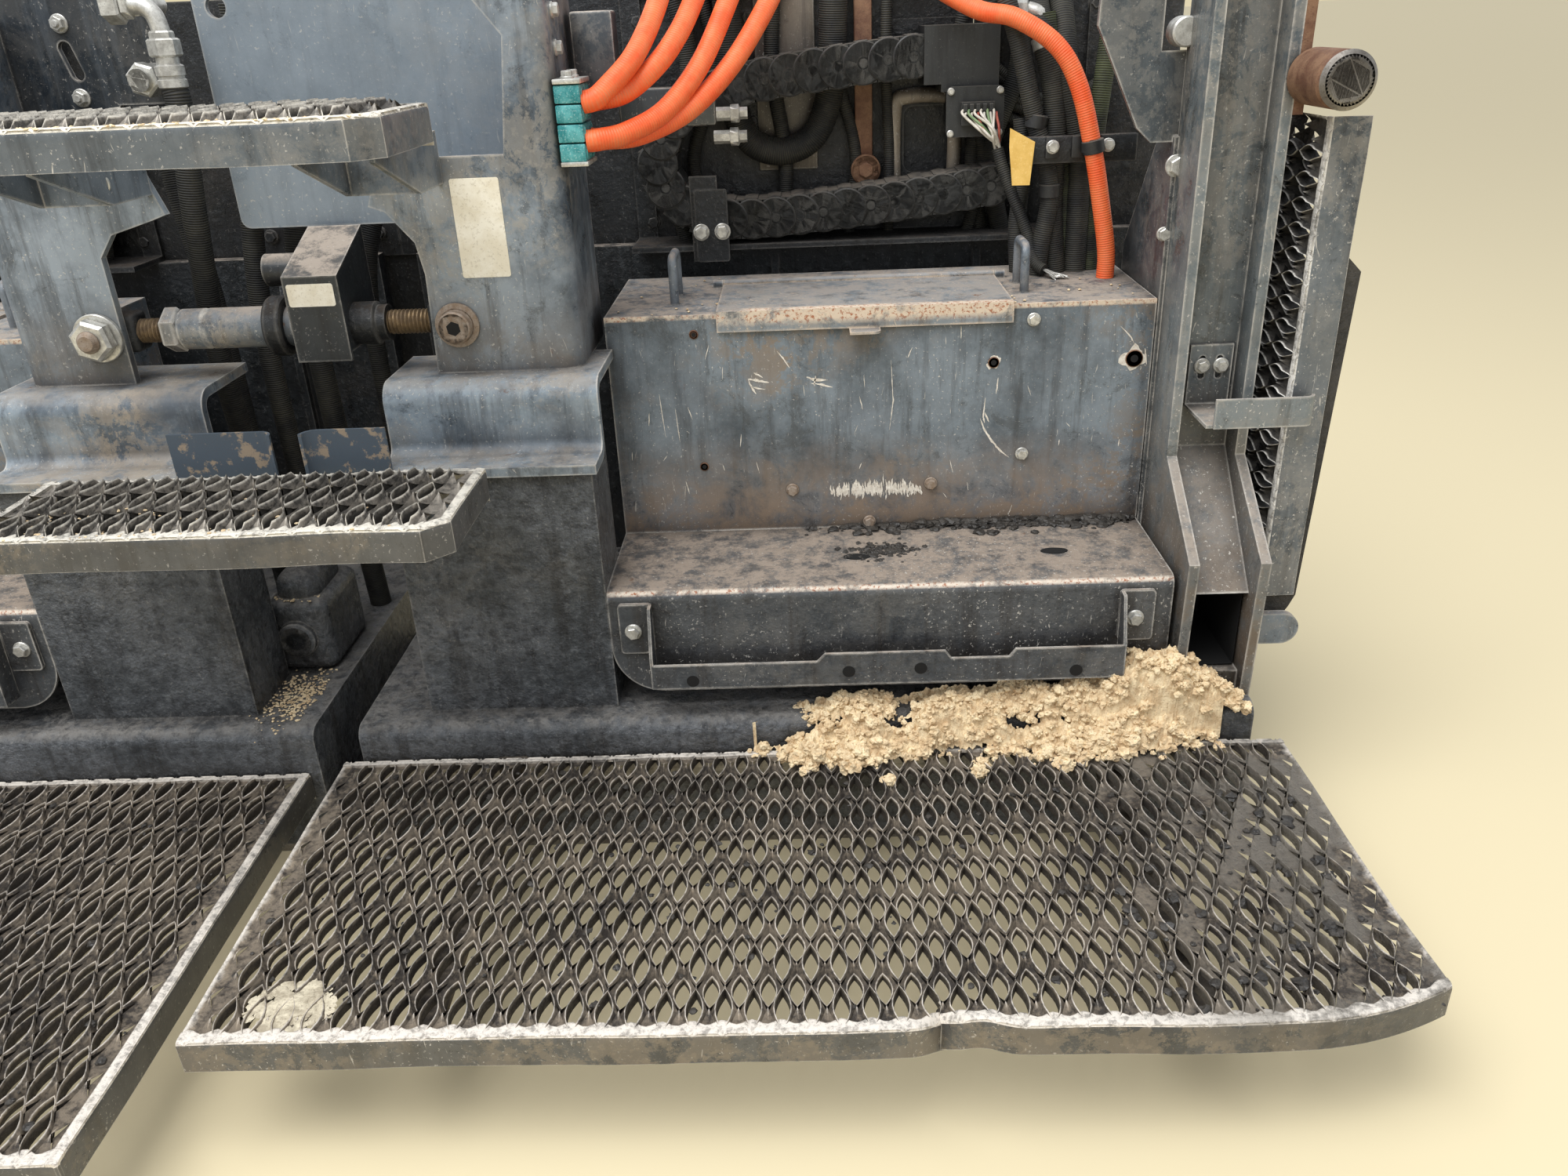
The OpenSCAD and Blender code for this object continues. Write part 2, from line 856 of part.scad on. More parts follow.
module cut_plate(y) {
    lug_x = half_w - 56;
    difference() {
        along_y(y, y + 8)
            polygon([
                [half_w, 853], [half_w - 133, 853], [half_w - 151, 870],
                [half_w - 206, 985], [half_w - 203, post_top + 20],
                [half_w, post_top + 20]
            ]);
        along_y(y - 1, y + 9) translate([half_w - 129, 955])
            round_corner_box(48, 60, 10, 1, 1);
    }
    along_y(y - 6, y) {
        translate([lug_x, 862]) circle(18);
        polygon([
            [lug_x - 18, 862], [lug_x + 18, 862], [lug_x + 33, 948], [lug_x - 30, 958]
        ]);
    }
}

rack_t = 12;
rack_y = front_y + front_t - rack_t;
rack_in = locker_in + 8;
rack_out = locker_out - 4;
rack_top = 1080;
tray_y = locker_back + 6;
tray_z = front_h + 8;
cover_x = 806;
cover_w = 104;
bend_x = 510;
chain_z = tray_z + carrier_t / 2;
module carrier_frame() {
    post_w = 30;
    color(paint) {
        block(rack_in, rack_out, tray_y, front_y + front_t, front_h, tray_z);
        for (x = [rack_in, rack_out - post_w])
            block(x, x + post_w, rack_y, rack_y + rack_t, tray_z, rack_top);
        block(
            rack_in + post_w, rack_out - post_w, rack_y, rack_y + rack_t,
            rack_top - 40, rack_top
        );
        c_bracket();
        upright();
    }
}

// Plate with a rounded window under the cover's end
module c_bracket() {
    x0 = cover_x - 47;
    along_y(rack_y, rack_y + rack_t) difference() {
        translate([x0, tray_z]) square([125, 1000 - tray_z]);
        translate([x0 + 26, 790]) round_square(80, 92, 14);
    }
}

// Two plates that hold the lower run's end of the carrier
module upright() {
    x0 = bend_x - 36;
    t = 6;
    low = front_h - 14;
    along_y(tray_y - t, tray_y) translate([x0 - 6, low]) square([40, 120]);
    along_y(tray_y - 2 * t, tray_y - t) translate([x0, low]) round_square(48, 102, 4);
}

module link_outline(x, z, a, r) {
    translate([x, z]) rotate(a) {
        circle(r);
        translate([link_l, 0]) circle(r);
        translate([0, -r]) square([link_l, 2 * r]);
    }
}

// One link of the cable carrier: two side plates and two crossbars. The
// plates of every second link lie inside those of its neighbours.
module carrier_link(i, x, z, a) {
    plate = 3.5;
    inner = i % 2 == 1;
    inset = inner ? 3 : 0;
    r = carrier_t / 2 - (inner ? 1.5 : 0);
    bar = carrier_t / 2 - 6;
    y0 = tray_y + 4;
    for (y = [y0 + inset, y0 + carrier_w - inset - plate])
        along_y(y, y + plate) link_outline(x, z, a, r);
    along_y(y0 + inset + 1, y0 + carrier_w - inset - 1)
        translate([x, z]) rotate(a)
            for (s = [-1, 1])
                translate([link_l / 2 - 6, s * bar - 2]) square([12, 4]);
}

// Lower run on the tray, half a turn and the upper run to the cover
module cable_carrier() {
    n_low = floor(420 / link_l);
    n_bend = round(3.1416 * carrier_r / link_l);
    n_up = floor((cover_x - carrier_t / 2 - bend_x) / link_l);
    turn = 180 / n_bend;
    bend_z = chain_z + carrier_r;
    top_z = chain_z + 2 * carrier_r;
    chain_end = bend_x + n_up * link_l;
    y0 = tray_y + 4;
    color(tar) {
        for (i = [0 : n_low - 1])
            carrier_link(i, bend_x + (n_low - i) * link_l, chain_z, 180);
        for (i = [0 : n_bend - 1])
            carrier_link(
                n_low + i, bend_x - carrier_r * sin(i * turn),
                bend_z - carrier_r * cos(i * turn), 180 - turn / 2 - i * turn
            );
        for (i = [0 : n_up - 1])
            carrier_link(n_low + n_bend + i, bend_x + i * link_l, top_z, 0);
        block(chain_end, cover_x, y0 + 8, y0 + carrier_w - 8, top_z - 14, top_z + 14);
    }
}

module carrier_cover() {
    x1 = cover_x + cover_w;
    color(tar) {
        along_y(tray_y, rack_y)
            polygon([
                [cover_x, 915], [cover_x + 24, 915], [cover_x + 24, 905],
                [x1 - 6, 905], [x1, 911], [x1, 990], [cover_x, 990]
            ]);
    }
}

module connector_box() {
    x0 = cover_x + 30;
    w = 80;
    t = 6;
    inner = 14;
    color(tar) {
        along_y(tray_y - 16, tray_y - 16 + t) translate([x0, 846])
            round_square(w, 66, 8);
        block(x0 + 8, x0 + w - 6, tray_y - 10, rack_y, 856, 905);
        block(
            x0 + inner + 6, x0 + w - inner, tray_y - 26, tray_y - 16,
            862, 892
        );
    }
}

// Stack of clamp blocks on the post's side, and the clamp bar of the hoses
module hose_clamps() {
    w = 30;
    y0 = post_y + post_bend - 18;
    y1 = y0 + 62;
    z0 = 866;
    pitch = 21;
    cap = 5;
    color("teal") for (i = [0 : 3]) {
        block(post_out, post_out + w, y0, y1, z0 + i * pitch, z0 + (i + 1) * pitch - 1.5);
        block(
            post_out, post_out + w - 2, y0 + 2, y1 - 2,
            z0 + (i + 1) * pitch - 1.5, z0 + (i + 1) * pitch
        );
    }
    color(zinc) for (z = [z0 - cap, z0 + 4 * pitch])
        block(post_out, post_out + w + 2, y0 - 2, y1 + 2, z, z + cap);
    color(paint) block(lid_out + 15, end_post_in - 6, 400, 412, 815, 850);
}

// Points between two hand-set points of a route, rounded through both
function between(p0, p1, p2, p3, t) = 0.5 * (
    2 * p1 + (p2 - p0) * t
    + (2 * p0 - 5 * p1 + 4 * p2 - p3) * t * t
    + (3 * p1 - p0 - 3 * p2 + p3) * t * t * t
);
function smooth(p, n) = concat(
    [
        for (i = [0 : len(p) - 2], k = [0 : n - 1])
            between(p[max(i - 1, 0)], p[i], p[i + 1], p[min(i + 2, len(p) - 1)], k / n)
    ],
    [p[len(p) - 1]]
);
function unit(v) = v / norm(v);

// Tube of radius r swept along a route of points
module hose(points, r) {
    sides = 8;
    p = smooth(points, 3);
    last = len(p) - 1;
    end = len(points) - 1;
    ring = [for (k = [0 : sides - 1]) 360 * k / sides];
    verts = [
        for (i = [0 : last])
            let (
                t = unit(
                    i == 0 ? points[1] - points[0]
                    : i == last ? points[end] - points[end - 1]
                    : p[i + 1] - p[i - 1]
                ),
                u = unit(cross(t, [0.6, -0.79, 0.1])),
                v = cross(t, u)
            )
            for (a = ring) p[i] + r * (cos(a) * u + sin(a) * v)
    ];
    faces = concat(
        [[for (k = [0 : sides - 1]) k]],
        [
            for (i = [0 : last - 1], k = [0 : sides - 1])
                let (a = i * sides + k, b = i * sides + (k + 1) % sides)
                [a, a + sides, b + sides, b]
        ],
        [[for (k = [sides - 1 : -1 : 0]) last * sides + k]]
    );
    polyhedron(verts, faces);
}

module orange_hoses() {
    x0 = post_out + 30;
    top = rack_top - 20;
    // Each row: Y and Z at the clamp, X at the rack, X step past the clamp
    rows = [
        [195, 929, 446, 40], [163, 929, 485, 56], [195, 887, 535, 40], [163, 887, 580, 56]
    ];
    color("orangered") {
        for (r = rows)
            hose([
                [x0, r[0], r[1]], [x0 + 14, r[0], r[1]],
                [x0 + r[3], r[0] + 20, r[1] + 8],
                [r[2] - 20, 305, r[1] + 60], [r[2], 400, 1030],
                [r[2], 500, top], [r[2], rack_y, top]
            ], orange_r);
        hose([
            [1050, 380, locker_top], [1050, 380, locker_top + 40], [1021, 380, 844],
            [994, 400, 911], [944, 430, 978], [874, 450, 1010], [800, 520, top],
            [790, 555, top], [790, rack_y, top]
        ], orange_r);
    }
}

module black_hoses() {
    top = rack_top - 20;
    color(tar) for (x = [955, 990])
        hose([
            [x, 438, locker_top], [x, 438, locker_top + 40], [x, 432, 830],
            [x, 475, 1000], [x, 540, top], [x, rack_y, top]
        ], black_r);
}

module centre_hoses() {
    color(tar) hose([
        [-113, 220, 960], [-113, 220, 930], [-130, 225, 800], [-160, 262, 600],
        [-160, 300, 260], [-160, 300, base_h]
    ], black_r);
}

// Elbow and coupling at the top of the centre hose, and the bolt-in union
// below it
module hose_fittings() {
    x = -113;
    y = 220;
    z = 960;
    r = black_r - 2;
    elbow = 22;
    color(zinc) {
        translate([x, y, z]) cylinder(h = 34, r = black_r);
        translate([x, y, z + 34]) cylinder(h = 20, r = r + 3, $fn = 6);
        translate([x, y, z + 54]) cylinder(h = 14, r = r - 3);
        translate([x - elbow, y, z + 68]) rotate([90, 0, 0]) rotate_extrude(angle = 90)
            translate([elbow, 0]) circle(r - 3);
        pin_x(y, z + 68 + elbow, x - elbow - 16, x - elbow, r - 3);
        translate([x - elbow - 36, y, z + 68 + elbow]) rotate([0, 90, 0])
            cylinder(h = 20, r = r + 5, $fn = 6);
        pin_y(x - elbow - 26, z + 68 + elbow, y, 280, r - 2);
        pin_y(x - 40, z + 10, y, 280, r + 2);
    }
}

base_frame(1);  // base_frame_right
base_frame(-1);  // base_frame_left
sole_plate(1);  // sole_plate_right
sole_plate(-1);  // sole_plate_left
rear_wall(1);  // rear_wall_right
rear_wall(-1);  // rear_wall_left
crown_bracket(1);  // crown_bracket_right
crown_bracket(-1);  // crown_bracket_left
centre_post(1);  // centre_post_right
centre_post(-1);  // centre_post_left
locker(1);  // locker_right
locker(-1);  // locker_left
lid(1);  // lid_right
lid(-1);  // lid_left
lifting_loops();
ledge_cover(1);  // ledge_cover_right
ledge_cover(-1);  // ledge_cover_left
both() tool_rail();  // tool_rails
end_post(1);  // end_post_right
end_post(-1);  // end_post_left
side_plates();
both() hook_bracket();  // hook_brackets
walkway_right();
walkway_left();
end_walkway(1);  // end_walkway_right
end_walkway(-1);  // end_walkway_left
both() fold_hinge();  // fold_hinges
both() stop_barrel();  // stops
front_wall(1);  // front_wall_right
front_wall(-1);  // front_wall_left
both() tow_bracket();  // tow_brackets
upper_step();
lower_step();
step_arms();
turnbuckle();
turnbuckle_cover();
centre_panels();
tool_hooks();
both() carrier_frame();  // carrier_frames
both() cable_carrier();  // cable_carriers
both() carrier_cover();  // carrier_covers
both() connector_box();  // connector_boxes
hose_clamps();
orange_hoses();
black_hoses();
centre_hoses();
hose_fittings();
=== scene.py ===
"""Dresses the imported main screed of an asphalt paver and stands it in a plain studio.

The steelwork keeps its solids and gets worn site finishes. The stretched gratings,
the hoses, the fasteners, the labels, the wires and the dirt are made here.
"""
import math
import random

import bmesh
import bpy
from mathutils import Matrix, Vector, noise


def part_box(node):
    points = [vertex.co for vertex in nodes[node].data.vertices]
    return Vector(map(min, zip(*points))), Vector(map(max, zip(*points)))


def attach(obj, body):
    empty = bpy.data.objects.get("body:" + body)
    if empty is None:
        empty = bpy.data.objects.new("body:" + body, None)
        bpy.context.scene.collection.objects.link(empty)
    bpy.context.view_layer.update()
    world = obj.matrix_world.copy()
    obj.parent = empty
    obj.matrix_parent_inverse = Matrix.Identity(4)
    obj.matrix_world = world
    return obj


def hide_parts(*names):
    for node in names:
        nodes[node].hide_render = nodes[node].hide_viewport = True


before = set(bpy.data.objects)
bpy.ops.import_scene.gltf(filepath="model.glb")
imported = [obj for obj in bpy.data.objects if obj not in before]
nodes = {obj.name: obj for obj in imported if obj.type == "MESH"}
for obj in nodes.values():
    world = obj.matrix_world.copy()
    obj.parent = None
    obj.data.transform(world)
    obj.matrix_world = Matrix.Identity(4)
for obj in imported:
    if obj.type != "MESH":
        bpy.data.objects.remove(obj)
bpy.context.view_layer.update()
scene = bpy.context.scene
rng = random.Random(8)

MM = 0.001
REAR = (0, -1, 0)
SIDES_OF_CROWN = (1, -1)


# Camera and studio


def add_camera():
    """Looks down on the crown end of the right half, as a standing person does."""
    focal_px = 1507.0
    image_width_px = 2000
    right = Vector((0.9992, 0.0119, -0.0385))
    up = Vector((0.0293, 0.4359, 0.8995))
    back = right.cross(up).normalized()
    up = back.cross(right).normalized()
    data = bpy.data.cameras.new("camera")
    data.sensor_width = 36.0
    data.lens = focal_px / image_width_px * data.sensor_width
    data.clip_end = 500.0
    camera = bpy.data.objects.new("camera", data)
    rows = Matrix((right.normalized(), up, back)).transposed()
    place = Vector((635, -1300, 1009)) * MM
    camera.matrix_world = Matrix.Translation(place) @ rows.to_4x4()
    scene.collection.objects.link(camera)
    scene.camera = camera


def add_world():
    """An even, slightly cool sky; past the floor's edge the eye sees the floor's colour."""
    world = bpy.data.worlds.new("studio")
    world.use_nodes = True
    tree = world.node_tree
    tree.nodes.clear()
    sky = node(tree, "ShaderNodeBackground", {"Color": linear("#f4f7fb"), "Strength": 0.88})
    far = node(tree, "ShaderNodeBackground", {"Color": linear("#e2d5b2"), "Strength": 1.0})
    seen = node(tree, "ShaderNodeLightPath")
    shown = node(tree, "ShaderNodeMixShader", links={0: seen, 1: sky, 2: far})
    node(tree, "ShaderNodeOutputWorld", links={"Surface": shown})
    scene.world = world


def add_lamp(name, size, power, place, aim):
    """Square lamp of a size (m) and a power (W), aimed from a place at a point (m)."""
    data = bpy.data.lights.new(name, "AREA")
    data.size = size
    data.energy = power
    lamp = bpy.data.objects.new(name, data)
    lamp.location = place
    lamp.rotation_euler = (Vector(aim) - Vector(place)).to_track_quat("-Z", "Y").to_euler()
    scene.collection.objects.link(lamp)


def add_floor():
    """Plain pale sandy floor."""
    bm = bmesh.new()
    bmesh.ops.create_grid(bm, x_segments=1, y_segments=1, size=200.0)
    mesh = bpy.data.meshes.new("floor")
    bm.to_mesh(mesh)
    bm.free()
    mat, tree = new_material("floor_sand_colour")
    shader = node(tree, "ShaderNodeBsdfPrincipled",
                  {"Base Color": linear("#e0d2ae"), "Roughness": 0.95})
    node(tree, "ShaderNodeOutputMaterial", links={"Surface": shader})
    mesh.materials.append(mat)
    floor = bpy.data.objects.new("floor", mesh)
    scene.collection.objects.link(floor)


# Materials


def linear(hex_colour):
    """An sRGB hex value as the linear colour that a socket takes."""
    out = []
    for i in (1, 3, 5):
        c = int(hex_colour[i:i + 2], 16) / 255
        out.append(c / 12.92 if c <= 0.04045 else ((c + 0.055) / 1.055) ** 2.4)
    return (*out, 1.0)


def node(tree, kind, settings=None, links=None, out=0):
    """Adds a node, sets its values, links its inputs and returns one of its outputs."""
    made = tree.nodes.new(kind)
    for key, value in (settings or {}).items():
        if isinstance(key, int) or key in made.inputs:
            made.inputs[key].default_value = value
        else:
            setattr(made, key, value)
    for key, socket in (links or {}).items():
        tree.links.new(socket, made.inputs[key])
    return made.outputs[out] if len(made.outputs) else None


def new_material(name):
    """An empty material and its node tree."""
    mat = bpy.data.materials.new(name)
    mat.use_nodes = True
    mat.node_tree.nodes.clear()
    return mat, mat.node_tree


def overlay(tree, colour, tone, source, start, end, most=1.0):
    """Lays a tone over a colour, up to most, as the source goes from start to end."""
    share = node(tree, "ShaderNodeMapRange",
                 {"From Min": start, "From Max": end, "To Max": most}, {"Value": source})
    return node(tree, "ShaderNodeMixRGB", {"Color2": linear(tone)},
                {"Fac": share, "Color1": colour})


def within(tree, amount, source, start, end, least=0.0, most=1.0):
    """Scales an amount from least to most as the source goes from start to end."""
    share = node(tree, "ShaderNodeMapRange",
                 {"From Min": start, "From Max": end, "To Min": least, "To Max": most},
                 {"Value": source})
    return node(tree, "ShaderNodeMath", {"operation": "MULTIPLY"}, {0: amount, 1: share})


def scratched(tree, place, marks):
    """Adds scratches of 40 mm, which run down and aslant and drift a little, to marks."""
    drift = node(tree, "ShaderNodeTexNoise", {"Scale": 9.0, "Detail": 2.0},
                 {"Vector": place}, out=1)
    drift = node(tree, "ShaderNodeVectorMath", {"operation": "MULTIPLY", 1: (0.05,) * 3},
                 {0: drift})
    bent = node(tree, "ShaderNodeVectorMath", {"operation": "ADD"}, {0: place, 1: drift})
    for size, turned_by, least in (((330.0, 330.0, 17.0), (0.0, 0.12, 0.0), 0.72),
                                   ((300.0, 300.0, 20.0), (0.3, -0.7, 0.2), 0.75),
                                   ((260.0, 260.0, 22.0), (0.2, 0.9, -0.3), 0.77)):
        grain = node(tree, "ShaderNodeMapping", {"Scale": size, "Rotation": turned_by},
                     {"Vector": bent})
        strokes = node(tree, "ShaderNodeTexNoise", {"Scale": 1.0, "Detail": 2.0},
                       {"Vector": grain})
        strokes = node(tree, "ShaderNodeMapRange",
                       {"From Min": least, "From Max": least + 0.04}, {"Value": strokes})
        marks = node(tree, "ShaderNodeMath", {"operation": "MAXIMUM"}, {0: marks, 1: strokes})
    return marks


def edges_rubbed(tree, edge):
    """Where an edge is within a few mm: the rounded normal leaves the flat one there."""
    flat = node(tree, "ShaderNodeNewGeometry", out=1)
    softened = node(tree, "ShaderNodeBevel", {"samples": 4, "Radius": edge * MM})
    agree = node(tree, "ShaderNodeVectorMath", {"operation": "DOT_PRODUCT"},
                 {0: flat, 1: softened}, out=1)
    return node(tree, "ShaderNodeMapRange",
                {"From Min": 0.998, "From Max": 0.92}, {"Value": agree})


def bend_rubbed(tree, colour, place, blooms, grit, line, rub):
    """A bend rubbed to the primer and to fresh rust, in a torn line along X."""
    y, z, reach = line
    flatly = node(tree, "ShaderNodeVectorMath",
                  {"operation": "MULTIPLY", 1: (0.0, 1.0, 1.0)}, {0: place})
    off = node(tree, "ShaderNodeVectorMath",
               {"operation": "DISTANCE", 1: (0.0, y * MM, z * MM)}, {0: flatly}, out=1)
    torn = node(tree, "ShaderNodeMapRange",
                {"From Min": reach * MM, "From Max": 0.5 * reach * MM}, {"Value": off})
    torn = within(tree, torn, blooms, 0.38, 0.5)
    tone = node(tree, "ShaderNodeMapRange",
                {"From Min": 0.38, "From Max": 0.48}, {"Value": grit})
    tone = node(tree, "ShaderNodeMixRGB",
                {"Color1": linear("#a3694a"), "Color2": linear(rub)}, {"Fac": tone})
    return node(tree, "ShaderNodeMixRGB",
                links={"Fac": torn, "Color1": colour, "Color2": tone})


def worn_paint(name, coat, faded, rust, grime="#33363a", dust="#a89c8f", chip="#c9c4bb",
               grime_share=0.6, dust_share=0.7, chips=0.8, crumbs=0.0, gloss=0.33,
               film="#9d978d", film_share=0.5, edge=4.0, haze=None, shade=None, lines=(),
               rub="#d3c2ad", corner_shade="#25211e"):
    """Sprayed alkyd enamel on steel plate, some years on sites: satin, mottled where
    it has faded, streaked by run-off, speckled by grit, scratched, pale at the edges
    where it is rubbed to the primer, and dusty on top. Inner corners get a painted shade
    in the colour corner_shade. film is the pale skin that muddy water leaves, crumbs adds
    the lumps of old asphalt with painted shade between them and a painted highlight on
    their tops, and edge is how far in mm an edge is rubbed. haze is (low, high, colour) of
    dirt that has splashed up to a height in mm, shade is (from, to, colour) of another coat
    along X in mm, and lines are bends that are rubbed: (y, z, reach) in mm."""
    mat, tree = new_material(name)
    place = node(tree, "ShaderNodeTexCoord", out=3)
    turn = node(tree, "ShaderNodeTexCoord", out=1)
    split = {"Vector": place}
    height = node(tree, "ShaderNodeSeparateXYZ", links=split, out=2)
    facing_up = node(tree, "ShaderNodeSeparateXYZ", links={"Vector": turn}, out=2)

    # Fading in patches of about 250 mm, and clouds of 50 mm that break up what follows
    clouds = node(tree, "ShaderNodeTexNoise",
                  {"Scale": 4.1, "Detail": 9.0, "Roughness": 0.7}, split)
    fade = node(tree, "ShaderNodeMapRange",
                {"From Min": 0.4, "From Max": 0.6}, {"Value": clouds})
    colour = node(tree, "ShaderNodeMixRGB", {"Color1": linear(coat), "Color2": linear(faded)},
                  {"Fac": fade})
    blooms = node(tree, "ShaderNodeTexNoise",
                  {"Scale": 19.0, "Detail": 11.0, "Roughness": 0.76, "Distortion": 0.4}, split)
    if shade:
        start, end, other = shade
        along = node(tree, "ShaderNodeSeparateXYZ", links=split, out=0)
        colour = overlay(tree, colour, other, along, start * MM, end * MM)

    # Run-off streaks, 25 mm wide and ten times as tall
    tall = node(tree, "ShaderNodeMapping", {"Scale": (38.0, 38.0, 3.4)}, split)
    streaks = node(tree, "ShaderNodeTexNoise",
                   {"Scale": 1.0, "Detail": 6.0, "Roughness": 0.72}, {"Vector": tall})
    colour = overlay(tree, colour, grime, streaks, 0.5, 0.64, grime_share)

    # The dried film, in crisp patches and in a spatter of 15 mm, here and there only
    areas = node(tree, "ShaderNodeTexNoise", {"Scale": 3.1, "Detail": 4.0}, split)
    areas = node(tree, "ShaderNodeMapRange",
                 {"From Min": 0.46, "From Max": 0.58, "To Min": 0.06}, {"Value": areas})
    spatter = node(tree, "ShaderNodeTexNoise",
                   {"Scale": 62.0, "Detail": 7.0, "Roughness": 0.78}, split)
    for source, start, end, most in ((blooms, 0.48, 0.51, film_share),
                                     (spatter, 0.52, 0.55, 0.8 * film_share)):
        dried = within(tree, areas, source, start, end, most=most)
        colour = node(tree, "ShaderNodeMixRGB", {"Color2": linear(film)},
                      {"Fac": dried, "Color1": colour})

    # Oily smears of 50 mm
    colour = overlay(tree, colour, grime, blooms, 0.44, 0.36, 0.8 * grime_share)
    if haze:
        low, high, tone = haze
        splash = node(tree, "ShaderNodeMapRange",
                      {"From Min": low * MM, "From Max": high * MM, "To Min": 1.0,
                       "To Max": 0.0}, {"Value": height})
        splash = within(tree, splash, blooms, 0.4, 0.56, least=0.25)
        colour = node(tree, "ShaderNodeMixRGB", {"Color2": linear(tone)},
                      {"Fac": splash, "Color1": colour})

    # Dust that lies on what faces up, thicker in ragged patches of 30 mm
    dusty = node(tree, "ShaderNodeTexNoise",
                 {"Scale": 34.0, "Detail": 9.0, "Roughness": 0.8}, split)
    dusty = node(tree, "ShaderNodeMapRange",
                 {"From Min": 0.42, "From Max": 0.54, "To Min": 0.2 * dust_share,
                  "To Max": 1.25 * dust_share}, {"Value": dusty})
    settled = within(tree, dusty, facing_up, 0.45, 0.95)
    colour = node(tree, "ShaderNodeMixRGB", {"Color2": linear(dust)},
                  {"Fac": settled, "Color1": colour})

    # Rust blooms of about 20 mm, larger where there is more of it
    spread = 0.14 * rust
    colour = overlay(tree, colour, "#70503a", blooms, 0.72 - spread, 0.78 - spread,
                     min(1.0, 1.6 * rust))

    # Grit specks of 1 to 4 mm, and a few scratches of 40 mm that run down and aslant
    grit = node(tree, "ShaderNodeTexNoise",
                {"Scale": 230.0, "Detail": 4.0, "Roughness": 0.7}, split)
    marks = node(tree, "ShaderNodeMapRange",
                 {"From Min": 0.62, "From Max": 0.65}, {"Value": grit})
    marks = scratched(tree, place, marks)
    marks = within(tree, marks, clouds, 0.42, 0.6, least=0.1, most=min(1.0, 0.9 * chips))

    # Painted shade in inner corners, over some 60 mm
    corner = node(tree, "ShaderNodeAmbientOcclusion", {"samples": 6, "Distance": 0.06}, out=1)
    colour = overlay(tree, colour, corner_shade, corner, 0.82, 0.3, 0.88)

    # Edges rubbed raggedly to the primer
    rubbed = edges_rubbed(tree, edge)
    rubbed = within(tree, rubbed, blooms, 0.36, 0.56, most=min(1.0, chips))
    bare = node(tree, "ShaderNodeMath", {"operation": "MAXIMUM"}, {0: marks, 1: rubbed})
    colour = node(tree, "ShaderNodeMixRGB", {"Color2": linear(chip)},
                  {"Fac": bare, "Color1": colour})

    for line in lines:
        colour = bend_rubbed(tree, colour, place, blooms, grit, line, rub)

    # Orange peel of 2 mm under the coat, and lumps of 6 to 12 mm of old asphalt, with
    # painted shade between them and a painted highlight on their tops
    bump = node(tree, "ShaderNodeBump", {"Strength": 0.3, "Distance": 0.8 * MM},
                {"Height": grit})
    if crumbs:
        lumps = node(tree, "ShaderNodeTexNoise",
                     {"Scale": 85.0, "Detail": 7.0, "Roughness": 0.66}, split)
        # Dark tone: painted shade between the lumps; light tone: painted highlight on their tops
        for start, end, tone, most in ((0.5, 0.38, "#1e2023", 0.5),
                                       (0.55, 0.68, "#84888b", 0.3)):
            colour = overlay(tree, colour, tone, lumps, start, end, most * crumbs)
        heaped = within(tree, lumps, clouds, 0.36, 0.55, least=0.25, most=crumbs)
        bump = node(tree, "ShaderNodeBump", {"Strength": 1.0, "Distance": 7.0 * MM},
                    {"Height": heaped, "Normal": bump})
    bump = node(tree, "ShaderNodeBump",
                {"Strength": 0.5, "Distance": 0.6 * MM, "invert": True},
                {"Height": bare, "Normal": bump})

    # Satin where the coat is whole, duller where it has faded, dull where dust lies
    rough = node(tree, "ShaderNodeMapRange",
                 {"From Min": 0.35, "From Max": 0.65, "To Min": gloss - 0.1,
                  "To Max": gloss + 0.22}, {"Value": blooms})
    rough = node(tree, "ShaderNodeMath", {"operation": "ADD", "use_clamp": True},
                 {0: rough, 1: settled})
    shader = node(tree, "ShaderNodeBsdfPrincipled", {"IOR": 1.5},
                  {"Base Color": colour, "Roughness": rough, "Normal": bump})
    node(tree, "ShaderNodeOutputMaterial", links={"Surface": shader})
    return mat


